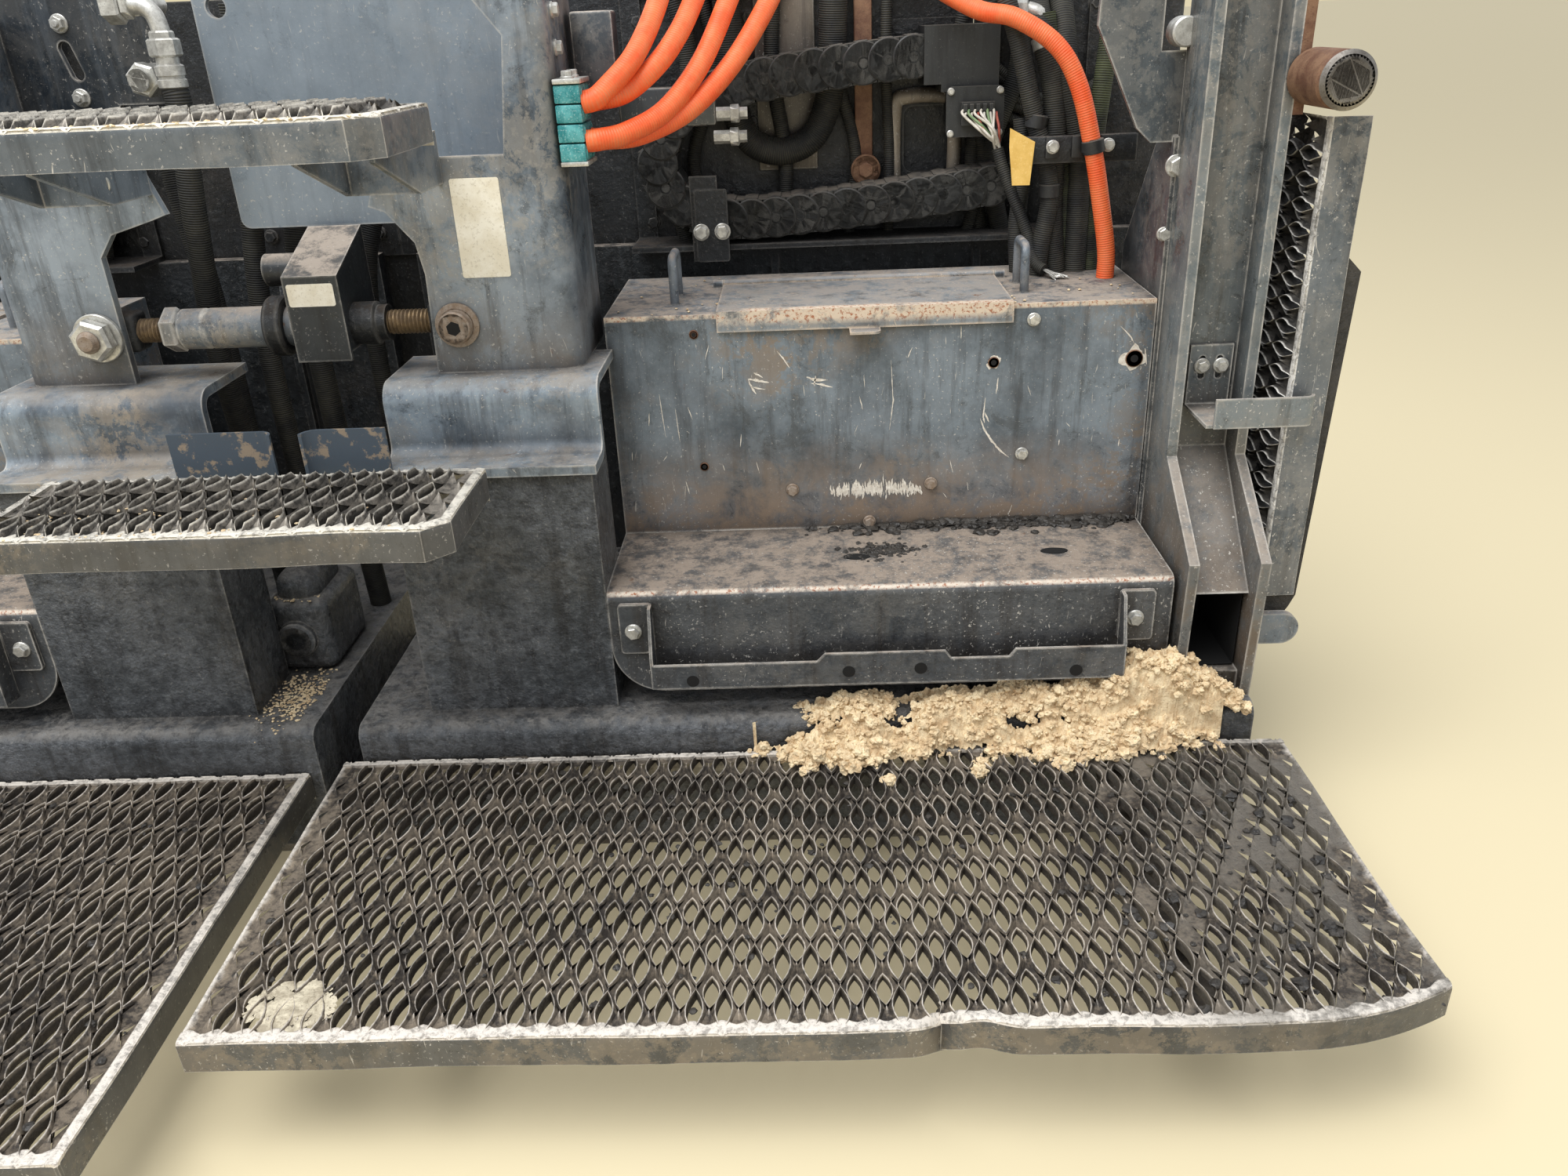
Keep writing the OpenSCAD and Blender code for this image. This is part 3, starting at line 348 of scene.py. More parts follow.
def grating_steel(name, rim, web, bowl_in_painted_shade, tar_from=None, bright_to=None):
    """Slit and stretched steel plank: the tops of the rims are trodden bright and
    dusty, and their near-white is partly a painted highlight; the webs keep brown dust,
    and the bowls and the walls down the openings, below zero wear_and_shade, keep the
    colour bowl_in_painted_shade, which is painted shade. Crumbs of 4 to 12 mm roughen it.
    tar_from is (from, to) in mm along X, where old tar begins and where it is thick.
    bright_to is (rear edge, to) in mm along Y, over which the rims are trodden brightest."""
    mat, tree = new_material(name)
    place = node(tree, "ShaderNodeTexCoord", out=3)
    split = {"Vector": place}
    wear_and_shade = node(tree, "ShaderNodeAttribute", {"attribute_name": "wear_and_shade"}, out=2)
    clouds = node(tree, "ShaderNodeTexNoise",
                  {"Scale": 8.0, "Detail": 8.0, "Roughness": 0.7}, split)
    grit = node(tree, "ShaderNodeTexNoise",
                {"Scale": 120.0, "Detail": 6.0, "Roughness": 0.72}, split)
    mixed = node(tree, "ShaderNodeMath", {"operation": "ADD"}, {0: grit, 1: clouds})
    dust = node(tree, "ShaderNodeMapRange",
                {"From Min": 0.86, "From Max": 1.1}, {"Value": mixed})
    dust = within(tree, dust, wear_and_shade, -0.15, 0.3)
    # Below zero wear_and_shade the bowl colour stays: painted shade down the openings
    colour = node(tree, "ShaderNodeMixRGB", {"Color1": linear(bowl_in_painted_shade), "Color2": linear(web)},
                  {"Fac": dust})
    # The rims' near-white: trodden bare steel, and partly a painted highlight
    trodden = node(tree, "ShaderNodeMapRange",
                   {"From Min": 0.3, "From Max": 0.7}, {"Value": wear_and_shade})
    trodden = within(tree, trodden, grit, 0.38, 0.52, least=0.45)
    bright = node(tree, "ShaderNodeMapRange",
                  {"From Min": 0.36, "From Max": 0.56, "To Min": 0.5}, {"Value": clouds})
    if bright_to:
        depth = node(tree, "ShaderNodeSeparateXYZ", links=split, out=1)
        rear = node(tree, "ShaderNodeMapRange",
                    {"From Min": bright_to[0] * MM, "From Max": bright_to[1] * MM,
                     "To Min": 0.35, "To Max": 0.0}, {"Value": depth})
        bright = node(tree, "ShaderNodeMath", {"operation": "ADD", "use_clamp": True},
                      {0: bright, 1: rear})
    trodden = node(tree, "ShaderNodeMath", {"operation": "MULTIPLY"},
                   {0: trodden, 1: bright})
    colour = node(tree, "ShaderNodeMixRGB", {"Color2": linear(rim)},
                  {"Fac": trodden, "Color1": colour})
    rough = node(tree, "ShaderNodeMapRange",
                 {"From Min": 0.4, "From Max": 0.6, "To Min": 0.4, "To Max": 0.85},
                 {"Value": grit})
    if tar_from:
        along = node(tree, "ShaderNodeSeparateXYZ", links=split, out=0)
        tar = node(tree, "ShaderNodeMapRange",
                   {"From Min": tar_from[0] * MM, "From Max": tar_from[1] * MM},
                   {"Value": along})
        tar = within(tree, tar, clouds, 0.42, 0.5, most=0.85)
        colour = node(tree, "ShaderNodeMixRGB", {"Color2": linear("#6e6961")},
                      {"Fac": tar, "Color1": colour})
        wet = node(tree, "ShaderNodeMapRange", {"To Min": 1.0, "To Max": 0.55}, {"Value": tar})
        rough = node(tree, "ShaderNodeMath", {"operation": "MULTIPLY"}, {0: rough, 1: wet})
    lumps = node(tree, "ShaderNodeBump", {"Strength": 1.0, "Distance": 4.0 * MM},
                 {"Height": mixed})
    shader = node(tree, "ShaderNodeBsdfPrincipled", {"IOR": 1.5, "Metallic": 0.1},
                  {"Base Color": colour, "Roughness": rough, "Normal": lumps})
    node(tree, "ShaderNodeOutputMaterial", links={"Surface": shader})
    return mat


def blotched(name, first, second, third=None, *, patch, grain, relief, rough,
             share=(0.4, 0.6), speck=0.5, metallic=0.0):
    """Two tones in patches, with a grain under them, and a third tone in its specks.
    patch, grain and relief are the size of both and the grain's depth in mm, share is
    where in the noise the second tone begins and ends, and rough is (least, most)."""
    mat, tree = new_material(name)
    place = node(tree, "ShaderNodeTexCoord", out=3)
    clouds = node(tree, "ShaderNodeTexNoise",
                  {"Scale": 1000 / patch, "Detail": 6.0, "Roughness": 0.65}, {"Vector": place})
    fade = node(tree, "ShaderNodeMapRange",
                {"From Min": share[0], "From Max": share[1]}, {"Value": clouds})
    colour = node(tree, "ShaderNodeMixRGB", {"Color1": linear(first), "Color2": linear(second)},
                  {"Fac": fade})
    fine = node(tree, "ShaderNodeTexNoise",
                {"Scale": 1000 / grain, "Detail": 3.0, "Roughness": 0.6}, {"Vector": place})
    if third:
        colour = overlay(tree, colour, third, fine, 0.56, 0.66, speck)
    bump = node(tree, "ShaderNodeBump", {"Strength": 0.6, "Distance": relief * MM},
                {"Height": fine})
    sheen = node(tree, "ShaderNodeMapRange",
                 {"From Min": 0.3, "From Max": 0.7, "To Min": rough[0], "To Max": rough[1]},
                 {"Value": clouds})
    shader = node(tree, "ShaderNodeBsdfPrincipled", {"Metallic": metallic},
                  {"Base Color": colour, "Roughness": sheen, "Normal": bump})
    node(tree, "ShaderNodeOutputMaterial", links={"Surface": shader})
    return mat


def corrugated(name, first, second, dust, ring, relief, rough):
    """Sleeve with a ring every so many mm along it, relief mm deep, dusty on the crests."""
    mat, tree = new_material(name)
    place = node(tree, "ShaderNodeTexCoord", out=3)
    along = node(tree, "ShaderNodeAttribute", {"attribute_name": "along"}, out=2)
    turns = node(tree, "ShaderNodeMath",
                 {"operation": "MULTIPLY", 1: 2 * math.pi / (ring * MM)}, {0: along})
    wave = node(tree, "ShaderNodeMath", {"operation": "SINE"}, {0: turns})
    clouds = node(tree, "ShaderNodeTexNoise",
                  {"Scale": 26.0, "Detail": 6.0, "Roughness": 0.7}, {"Vector": place})
    fade = node(tree, "ShaderNodeMapRange",
                {"From Min": 0.38, "From Max": 0.62}, {"Value": clouds})
    colour = node(tree, "ShaderNodeMixRGB", {"Color1": linear(first), "Color2": linear(second)},
                  {"Fac": fade})
    crest = within(tree, fade, wave, 0.2, 1.0, most=0.45)
    colour = node(tree, "ShaderNodeMixRGB", {"Color2": linear(dust)},
                  {"Fac": crest, "Color1": colour})
    bump = node(tree, "ShaderNodeBump", {"Strength": 0.7, "Distance": relief * MM},
                {"Height": wave})
    shader = node(tree, "ShaderNodeBsdfPrincipled", {"Roughness": rough},
                  {"Base Color": colour, "Normal": bump})
    node(tree, "ShaderNodeOutputMaterial", links={"Surface": shader})
    return mat


# Making pieces


def add_piece(name, bm, material, body="screed", smooth=None):
    """Turns a bmesh into a piece that rides a body; smooth is a crease angle."""
    mesh = bpy.data.meshes.new(name)
    bm.to_mesh(mesh)
    bm.free()
    for finish_used in material if isinstance(material, tuple) else (material,):
        mesh.materials.append(finish_used)
    if smooth:
        mesh.shade_smooth()
        mesh.set_sharp_from_angle(angle=math.radians(smooth))
    piece = bpy.data.objects.new(name, mesh)
    scene.collection.objects.link(piece)
    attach(piece, body)
    return piece


def join(bm, part):
    """Moves one bmesh into another: many small shapes are quicker made apart."""
    mesh = bpy.data.meshes.new("part")
    part.to_mesh(mesh)
    part.free()
    bm.from_mesh(mesh)
    bpy.data.meshes.remove(mesh)


def turned(axis):
    """Turns +Z on to an axis."""
    return Vector(axis).to_track_quat("Z", "Y").to_matrix().to_4x4()


def at(place, axis=(0, 0, 1), spin=0.0):
    """The matrix of a thing that stands on a place (mm) along an axis."""
    spun = Matrix.Rotation(math.radians(spin), 4, "Z")
    return Matrix.Translation(Vector(place) * MM) @ turned(axis) @ spun


def add_lathed(bm, matrix, steps, sides=20):
    """Stacks rings along Z from (radius, height) pairs in mm and closes both ends."""
    first = bmesh.ops.create_circle(
        bm, cap_ends=True, segments=sides, radius=steps[0][0] * MM,
        matrix=matrix @ Matrix.Translation((0, 0, steps[0][1] * MM)),
    )["verts"]
    faces = list({f for v in first for f in v.link_faces})
    for (r0, z0), (r1, z1) in zip(steps, steps[1:]):
        ext = bmesh.ops.extrude_face_region(bm, geom=faces)["geom"]
        verts = [g for g in ext if isinstance(g, bmesh.types.BMVert)]
        scale = r1 / r0
        grow = (matrix @ Matrix.Translation((0, 0, z1 * MM))
                @ Matrix.Diagonal((scale, scale, 1, 1))
                @ Matrix.Translation((0, 0, -z0 * MM)) @ matrix.inverted())
        bmesh.ops.transform(bm, matrix=grow, verts=verts)
        faces = [g for g in ext if isinstance(g, bmesh.types.BMFace)]


def add_hex_bolt(bm, place, axis, across, head, washer=12.0, spin=0.0, stud=0.0):
    """Hex head, so many mm across its flats and high, with a chamfered crown, on a washer
    of a radius, turned by spin degrees; stud lets so much of the thread show."""
    matrix = at(place, axis, spin)
    add_lathed(bm, matrix, [(washer, -1.0), (washer, 1.6), (washer - 0.8, 2.4)])
    r = across / math.sqrt(3)
    add_lathed(bm, matrix, [(r, 2.0), (r, 1.2 + head), (r * 0.86, 2.4 + head)], sides=6)
    if stud:
        add_lathed(bm, matrix, [(r * 0.52, head), (r * 0.52, head + stud),
                                (r * 0.42, head + stud + 1.5)], sides=14)


def add_socket_bolt(bm, place, axis, radius, head):
    """Cylinder head with a hexagon sunk in it, on a thick washer."""
    matrix = at(place, axis)
    add_lathed(bm, matrix, [
        (radius + 7, 0.0), (radius + 7, 4.0), (radius + 1, 5.0), (radius, 5.0),
        (radius, head - 2), (radius - 2, head), (radius * 0.58, head),
        (radius * 0.5, head - 1.5), (radius * 0.5, head - 10),
    ], sides=30)


def add_plate(bm, corners, thick, matrix):
    """Flat plate from its outline (mm) in the matrix's XY plane."""
    verts = [bm.verts.new(matrix @ Vector((x * MM, y * MM, 0))) for x, y in corners]
    face = bm.faces.new(verts)
    ext = bmesh.ops.extrude_face_region(bm, geom=[face])["geom"]
    lift = matrix.to_3x3() @ Vector((0, 0, thick * MM))
    lifted = [g for g in ext if isinstance(g, bmesh.types.BMVert)]
    bmesh.ops.translate(bm, vec=lift, verts=lifted)
    around = {f for v in verts + lifted for f in v.link_faces}
    bmesh.ops.recalc_face_normals(bm, faces=list(around))


def upright(x, y, z):
    """The matrix that stands a plate's outline up at a place (mm), facing the rear."""
    return Matrix(((1, 0, 0, x * MM), (0, 0, -1, y * MM), (0, 1, 0, z * MM), (0, 0, 0, 1)))


def rounded(w, h, r, n=5):
    """Outline of a plate with round corners of n steps each, from its own corner."""
    out = []
    for cx, cy, start in ((w - r, h - r, 0), (r, h - r, 90), (r, r, 180), (w - r, r, 270)):
        for k in range(n + 1):
            a = math.radians(start + 90 * k / n)
            out.append((cx + r * math.cos(a), cy + r * math.sin(a)))
    return out


# Hoses and cables


def smooth_route(points, steps):
    """Rounds a route of given points (mm) through each of them."""
    p = [Vector(q) * MM for q in points]
    out = []
    for i in range(len(p) - 1):
        p0, p1, p2, p3 = p[max(i - 1, 0)], p[i], p[i + 1], p[min(i + 2, len(p) - 1)]
        for k in range(steps):
            t = k / steps
            out.append(0.5 * (2 * p1 + (p2 - p0) * t + (2 * p0 - 5 * p1 + 4 * p2 - p3) * t ** 2
                              + (3 * p1 - p0 - 3 * p2 + p3) * t ** 3))
    return out + [p[-1]]


def add_tube(bm, route, radius, sides):
    """Carries a ring (mm) along a route (m). The attribute along holds the way it has
    come, which the sleeves' rings are counted from."""
    along = bm.verts.layers.float.get("along") or bm.verts.layers.float.new("along")

    def stand(i):
        """The matrix of the ring at point i, square to the route."""
        ahead = route[min(i + 1, len(route) - 1)] - route[max(i - 1, 0)]
        z = ahead.normalized()
        x = z.cross(Vector((0.6, -0.79, 0.1))).normalized()
        return Matrix.Translation(route[i]) @ Matrix((x, z.cross(x), z)).transposed().to_4x4()

    ring = bmesh.ops.create_circle(bm, cap_ends=True, segments=sides, radius=radius * MM,
                                   matrix=stand(0))["verts"]
    edges = list({e for v in ring for e in v.link_edges})
    made = {f for v in ring for f in v.link_faces}
    way = 0.0
    for i in range(1, len(route)):
        way += (route[i] - route[i - 1]).length
        ext = bmesh.ops.extrude_edge_only(bm, edges=edges)["geom"]
        ring = [g for g in ext if isinstance(g, bmesh.types.BMVert)]
        bmesh.ops.transform(bm, matrix=stand(i) @ stand(i - 1).inverted(), verts=ring)
        for v in ring:
            v[along] = way
        on = set(ring)
        edges = [g for g in ext if isinstance(g, bmesh.types.BMEdge)
                 and g.verts[0] in on and g.verts[1] in on]
        made.update(g for g in ext if isinstance(g, bmesh.types.BMFace))
    made.update(bmesh.ops.edgeloop_fill(bm, edges=edges)["faces"])
    bmesh.ops.recalc_face_normals(bm, faces=list(made))


# Stretched gratings

PITCH = 28.6  # from opening to opening along the plank, in mm
ROW = 59.2  # from row to row across it
SHEET = 3.6  # thickness
OPENING_POINTS = 20


def add_opening(bm, centre, rings, wear_and_shade):
    """One opening and the steel round it: rings run from the cell's edge inwards, down
    the opening and back out under the sheet. Each is (half width, half length, power,
    height, worn), where worn is 1 on a trodden rim and -1 on the walls down the opening,
    which get painted shade, or, for the diamond at the cell's edge, its heights (side,
    pinch, drop between)."""
    loops = []
    for ring in rings:
        verts = bmesh.ops.create_circle(bm, segments=OPENING_POINTS, radius=1.0)["verts"]
        on = set(verts)
        for v in verts:
            c, s = v.co.x, v.co.y
            if len(ring) == 3:
                side, pinch, drop = ring
                t = s * s
                v.co = Vector((math.copysign(PITCH / 2 * (1 - t), c),
                               math.copysign(ROW / 2 * t, s),
                               side + (pinch - side) * t + drop * 4 * t * (1 - t))) * MM
                v[wear_and_shade] = 0.1 + 0.65 * max(0.0, 1 + v.co.z / (1.2 * MM))
            else:
                half_w, half_l, power, z, worn = ring
                x = math.copysign(half_w * abs(c) ** power, c)
                v.co = Vector((x, half_l * s, z)) * MM
                v[wear_and_shade] = worn
        loops.append([e for v in verts for e in v.link_edges
                      if e.verts[0] in on and e.verts[1] in on])
    for a, b in zip(loops, loops[1:]):
        bmesh.ops.bridge_loops(bm, edges=list(set(a + b)))
    bmesh.ops.translate(bm, vec=Vector(centre) * MM, verts=bm.verts[:])


def grating_cells():
    """The two openings that the stretched sheet repeats, and their closed forms."""
    edge = (-4.0, -0.3, -1.2)
    under = (-7.0, -4.5, -1.5)
    return {
        # A worn of -1 puts the walls down the openings in painted shade
        "high": [edge, (9.6, 26.8, 2.2, -0.9, 0.1), (8.3, 25.8, 2.2, 0.2, 1.0),
                 (7.8, 25.3, 2.2, -0.5, 0.3), (7.5, 24.7, 2.2, -11.0, -1.0), under],
        "low": [edge, (9.8, 22.4, 2.1, -6.4, 0.0), (8.0, 20.4, 2.0, -6.6, 0.75),
                (7.5, 19.8, 2.0, -15.0, -1.0), (9.8, 21.8, 2.1, -12.0, -1.0), under],
    }


def make_cell(kind, filled):
    """A mesh of one cell, to be repeated."""
    bm = bmesh.new()
    wear_and_shade = bm.verts.layers.float.new("wear_and_shade")
    rings = grating_cells()[kind]
    if filled:
        rings = [rings[0], (9.0, 17.0, 1.5, -3.4, 0.12), (6.0, 12.0, 1.3, -3.6, 0.12)]
    add_opening(bm, (0, 0, 0), rings, wear_and_shade)
    if filled:
        inner = [e for e in bm.edges if e.is_boundary
                 and all(abs(v.co.x) < 6.5 * MM and abs(v.co.y) < 12.5 * MM for v in e.verts)]
        bmesh.ops.edgeloop_fill(bm, edges=inner)
    bmesh.ops.recalc_face_normals(bm, faces=bm.faces[:])
    mesh = bpy.data.meshes.new("cell")
    bm.to_mesh(mesh)
    bm.free()
    return mesh


cells = {}


def add_cell(bm, kind, filled, x, y):
    """Adds a copy of a cell, which is made the first time that it is asked for."""
    key = (kind, filled)
    if key not in cells:
        cells[key] = make_cell(kind, filled)
    count = len(bm.verts)
    bm.from_mesh(cells[key])
    bm.verts.ensure_lookup_table()
    bmesh.ops.translate(bm, vec=Vector((x, y, 0)) * MM, verts=bm.verts[count:])


def grating_sheet(length, depth, choked=None, teeth=2.5):
    """The stretched sheet of a plank, its top at Z 0 and a corner at the origin. From
    choked (mm) on, some openings are filled with old asphalt, and teeth is how far the
    rims of the high openings stand up."""
    nx = int((length - 30) // PITCH)
    ny = int(depth // ROW)
    x0 = (length - nx * PITCH) / 2
    y0 = (depth - ny * ROW) / 2
    bm = bmesh.new()
    bm.verts.layers.float.new("wear_and_shade")
    for j in range(-1, ny + 1):
        row = bmesh.new()
        row.verts.layers.float.new("wear_and_shade")
        for i in range(-1, nx + 1):
            filled = j in (-1, ny) or i in (-1, nx)
            if choked and x0 + PITCH * i > choked and rng.random() < 0.1:
                filled = True
            add_cell(row, "high", filled, x0 + PITCH * (i + 0.5), y0 + ROW * (j + 0.5))
        for i in range(-1, nx + 2):
            filled = j + 1 in (0, ny) or j < 0 or i < 1 or i > nx - 1
            if choked and x0 + PITCH * i > choked and rng.random() < 0.3:
                filled = True
            add_cell(row, "low", filled, x0 + PITCH * i, y0 + ROW * (j + 1))
        join(bm, row)
    bmesh.ops.remove_doubles(bm, verts=bm.verts[:], dist=0.05 * MM)
    for place, outward in (((0.5, 0), (-1, 0)), ((length - 0.5, 0), (1, 0)),
                           ((0, 0.5), (0, -1)), ((0, depth - 0.5), (0, 1))):
        bmesh.ops.bisect_plane(
            bm, geom=bm.verts[:] + bm.edges[:] + bm.faces[:], dist=0.01 * MM,
            plane_co=Vector((*place, 0)) * MM, plane_no=Vector((*outward, 0)),
            clear_outer=True)
    wear_and_shade = bm.verts.layers.float["wear_and_shade"]
    for v in bm.verts:
        x, y = v.co.x / MM, v.co.y / MM
        near = min(y, depth - y, x * 1.2, (length - x) * 1.2)
        stand = max(0.0, 1 + v.co.z / (4 * MM)) * max(0.0, min(1.0, (near - 9) / 5))
        v.co.z += teeth * MM * stand
        reach = 3.0 + 3.6 * abs(math.sin(math.pi * (x - x0) / PITCH))
        if near < reach and v.co.z > -4 * MM:
            blend = min(1.0, 1.5 * (1 - near / reach))
            v.co.z += (-0.4 * MM - v.co.z) * blend
            v[wear_and_shade] = max(v[wear_and_shade], 0.75 * blend + 0.1)
    return bm


def add_flange(bm, start, end, inward, drop, wavy=0.0, ripple=PITCH / 2, pieces=None):
    """A turned-down edge along the plank from start to end (x, y in mm): a flat lip,
    a bend of 6 mm and a drop. wavy gives the lip the ripple of a cut sheet."""
    wear_and_shade = bm.verts.layers.float["wear_and_shade"]
    run = Vector((end[0] - start[0], end[1] - start[1], 0))
    length = run.length
    run.normalize()
    inward = Vector((*inward, 0))
    across = 12
    n = pieces or max(2, int(length // 7))
    strip = bmesh.ops.create_grid(bm, x_segments=n, y_segments=across, size=0.5)["verts"]
    lip, r = 5.0, 6.0
    arc = r * math.pi / 2
    total = lip + arc + drop - r
    for v in strip:
        u = (v.co.x + 0.5) * length
        step = round((v.co.y + 0.5) * across)
        w = (0, lip * 0.5, lip, lip + arc * 0.25, lip + arc * 0.5, lip + arc * 0.75, lip + arc)
        w = w[step] if step < 7 else lip + arc + (total - lip - arc) * (step - 6) / (across - 6)
        if w <= lip:
            out, z = w - lip - r, 0.0
        elif w < lip + arc:
            a = (w - lip) / r
            out, z = r * math.sin(a) - r, r * math.cos(a) - r
        else:
            out, z = 0.0, -r - (w - lip - arc)
        if wavy and w <= lip:
            out -= wavy * (1 + math.sin(2 * math.pi * u / ripple)) * (1 - w / lip)
        v.co = (Vector((start[0], start[1], 0)) + run * u - inward * out) * MM
        v.co.z = z * MM + 0.3 * MM
        # The bend takes the rims' tone: trodden bare, and partly a painted highlight
        v[wear_and_shade] = 1.0 if lip * 0.4 < w < lip + arc * 0.8 else (0.5 if w <= lip else 0.16)
    on = set(strip)
    faces = [f for f in bm.faces if all(v in on for v in f.verts)]
    if run.cross(inward).z > 0:
        bmesh.ops.reverse_faces(bm, faces=faces)
    for f in faces:
        f.material_index = 1 if f.calc_center_median().z < -4 * MM else 0
    bmesh.ops.solidify(bm, geom=faces, thickness=SHEET * MM)


def dented(bm, bend):
    """Moves every vertex to where the function bend sends its place (mm)."""
    for v in bm.verts:
        v.co = bend(v.co / MM) * MM


def wavering(p, amount=1.6):
    """The slow unevenness that boots and shovels leave in a plank."""
    q = p / 130
    aside, down = noise.noise(q + Vector((9, 0, 0))), noise.noise(q)
    return p + Vector((aside, down, 0.9 * down)) * amount


def bend_right_walkway(p):
    """A fold at the rear flange with a swell beside it, and the outer corner bent in."""
    fold_x, fold_y = 742, -484
    swell_x, swell_y = 778, -478
    bend_from, bend_run = 1080, 147
    q = wavering(p)
    hit = math.exp(-((p.x - fold_x) / 16) ** 2 - ((p.y - fold_y) / 30) ** 2)
    q += Vector((6 * hit * math.copysign(1, fold_x - p.x), 26 * hit, -20 * hit))
    swell = math.exp(-((p.x - swell_x) / 26) ** 2 - ((p.y - swell_y) / 22) ** 2)
    q += Vector((0, 6 * swell, 5 * swell))
    if p.x > bend_from:
        far = (p.x - bend_from) / bend_run
        near = max(0.0, min(1.0, (-330 - p.y) / 150))
        q.y += 34 * far ** 2 * near
        q.z += 8 * far ** 2 * near
    return q


def make_walkway(name, x0, y0, length, depth, top, material, bend, ends, choked=None):
    """A plank of grating with its flanges and the straps that hang it on the base. x0 and
    y0 are its corner (mm), and ends says whether its short sides are turned down too."""
    drop, strap, strap_from_end = 38, 40, 219
    bm = grating_sheet(length, depth, choked)
    add_flange(bm, (0, 0), (length, 0), (0, 1), drop, wavy=3.0, ripple=PITCH,
               pieces=int(length / 5))
    add_flange(bm, (0, depth), (length, depth), (0, -1), drop)
    if ends:
        add_flange(bm, (0, 0), (0, depth), (1, 0), drop)
        add_flange(bm, (length, 0), (length, depth), (-1, 0), drop)
    for x in (strap_from_end, length - strap_from_end):
        left = x - strap / 2
        for y, reach, corner, thick in ((4, depth - 8, 3, 6), (depth, -y0 - depth, 2, 33.5)):
            place = Matrix.Translation(Vector((left, y, -37.5)) * MM)
            add_plate(bm, rounded(strap, reach, corner, 1), thick, place)
    bmesh.ops.translate(bm, vec=Vector((x0, y0, top)) * MM, verts=bm.verts[:])
    dented(bm, bend)
    return add_piece(name, bm, material, smooth=48)


def make_step(name, z, material):
    """A tread of three rows with a rippled rear lip and its rear corners cut off."""
    w, d, cut, drop = 514, 178, 26, 38
    rear = -195
    aslant = math.sqrt(0.5)
    bm = grating_sheet(w, d, teeth=7.5)
    for x, out in ((cut / 2, -1), (w - cut / 2, 1)):
        bmesh.ops.bisect_plane(bm, geom=bm.verts[:] + bm.edges[:] + bm.faces[:],
                               plane_co=Vector((x, cut / 2, 0)) * MM,
                               plane_no=Vector((out, -1, 0)), clear_outer=True)
    add_flange(bm, (cut, 0), (w - cut, 0), (0, 1), drop, wavy=4.6, pieces=(w - 2 * cut) // 2)
    for start, end, inward in (
            ((0, cut), (cut, 0), (aslant, aslant)), ((w - cut, 0), (w, cut), (-aslant, aslant)),
            ((0, cut), (0, d), (1, 0)), ((w, cut), (w, d), (-1, 0)), ((0, d), (w, d), (0, -1))):
        add_flange(bm, start, end, inward, drop)
    bmesh.ops.translate(bm, vec=Vector((-w / 2, rear, z)) * MM, verts=bm.verts[:])
    dented(bm, wavering)
    return add_piece(name, bm, material, smooth=48)


def make_end_walkway(side, material):
    """The folded end walkway: a plank on edge, its tread to the inside, on two arms."""
    name = "right" if side > 0 else "left"
    length, depth, drop = 594, 241, 46
    inner_face, rear, front, foot = 1224, 120, 361, 290
    bm = grating_sheet(length, depth, teeth=8.0)
    add_flange(bm, (0, 0), (length, 0), (0, 1), drop)
    add_flange(bm, (0, depth), (length, depth), (0, -1), drop)
    along, up = Vector((0, 0, 1)), Vector((-side, 0, 0))
    rows = Matrix((along, up.cross(along), up)).transposed().to_4x4()
    place = Vector((side * inner_face, rear if side > 0 else front, foot)) * MM
    bmesh.ops.transform(bm, matrix=Matrix.Translation(place) @ rows, verts=bm.verts[:])
    arm = [(4, -35), (4, 466), (48, 478), (64, 462), (50, 38), (42, 20), (6, -35)]
    for y in (124, 349):
        flat = Matrix(((side, 0, 0, side * inner_face * MM), (0, 0, 1, y * MM),
                       (0, 1, 0, (foot - 40) * MM), (0, 0, 0, 1)))
        add_plate(bm, arm, 8, flat)
    dented(bm, lambda p: wavering(p, 1.2))
    piece = add_piece("folded_end_walkway_" + name, bm, material,
                      body="end_walkway_" + name, smooth=48)
    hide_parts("end_walkway_" + name)


def make_gratings(finish):
    """The four walkways and the two steps, in the places of their solids."""
    steel, painted = (finish["walkway"], finish["flange"]), finish["plank_paint"]
    right = make_walkway("walkway_plank_right", x0=10, y0=-482, length=1217, depth=474,
                         top=150, material=steel, bend=bend_right_walkway, ends=False,
                         choked=960)
    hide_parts("walkway_right")
    left = make_walkway("walkway_plank_left", x0=-1262, y0=-597, length=1217, depth=594,
                        top=129, material=steel, bend=wavering, ends=True)
    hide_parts("walkway_left")
    upper = make_step("step_upper", 945, (finish["step"], painted))
    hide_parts("upper_step")
    lower = make_step("step_lower", 554, (finish["step"], finish["flange"]))
    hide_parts("lower_step")
    for side in SIDES_OF_CROWN:
        make_end_walkway(side, (finish["end_deck"], painted))


# Hoses, as their solids run


def add_hoses(name, runs, material):
    """One piece of hoses that each run a route at a radius (mm)."""
    bm = bmesh.new()
    for route, radius in runs:
        add_tube(bm, smooth_route(route, 8), radius, sides=20)
    return add_piece(name, bm, material, smooth=60)


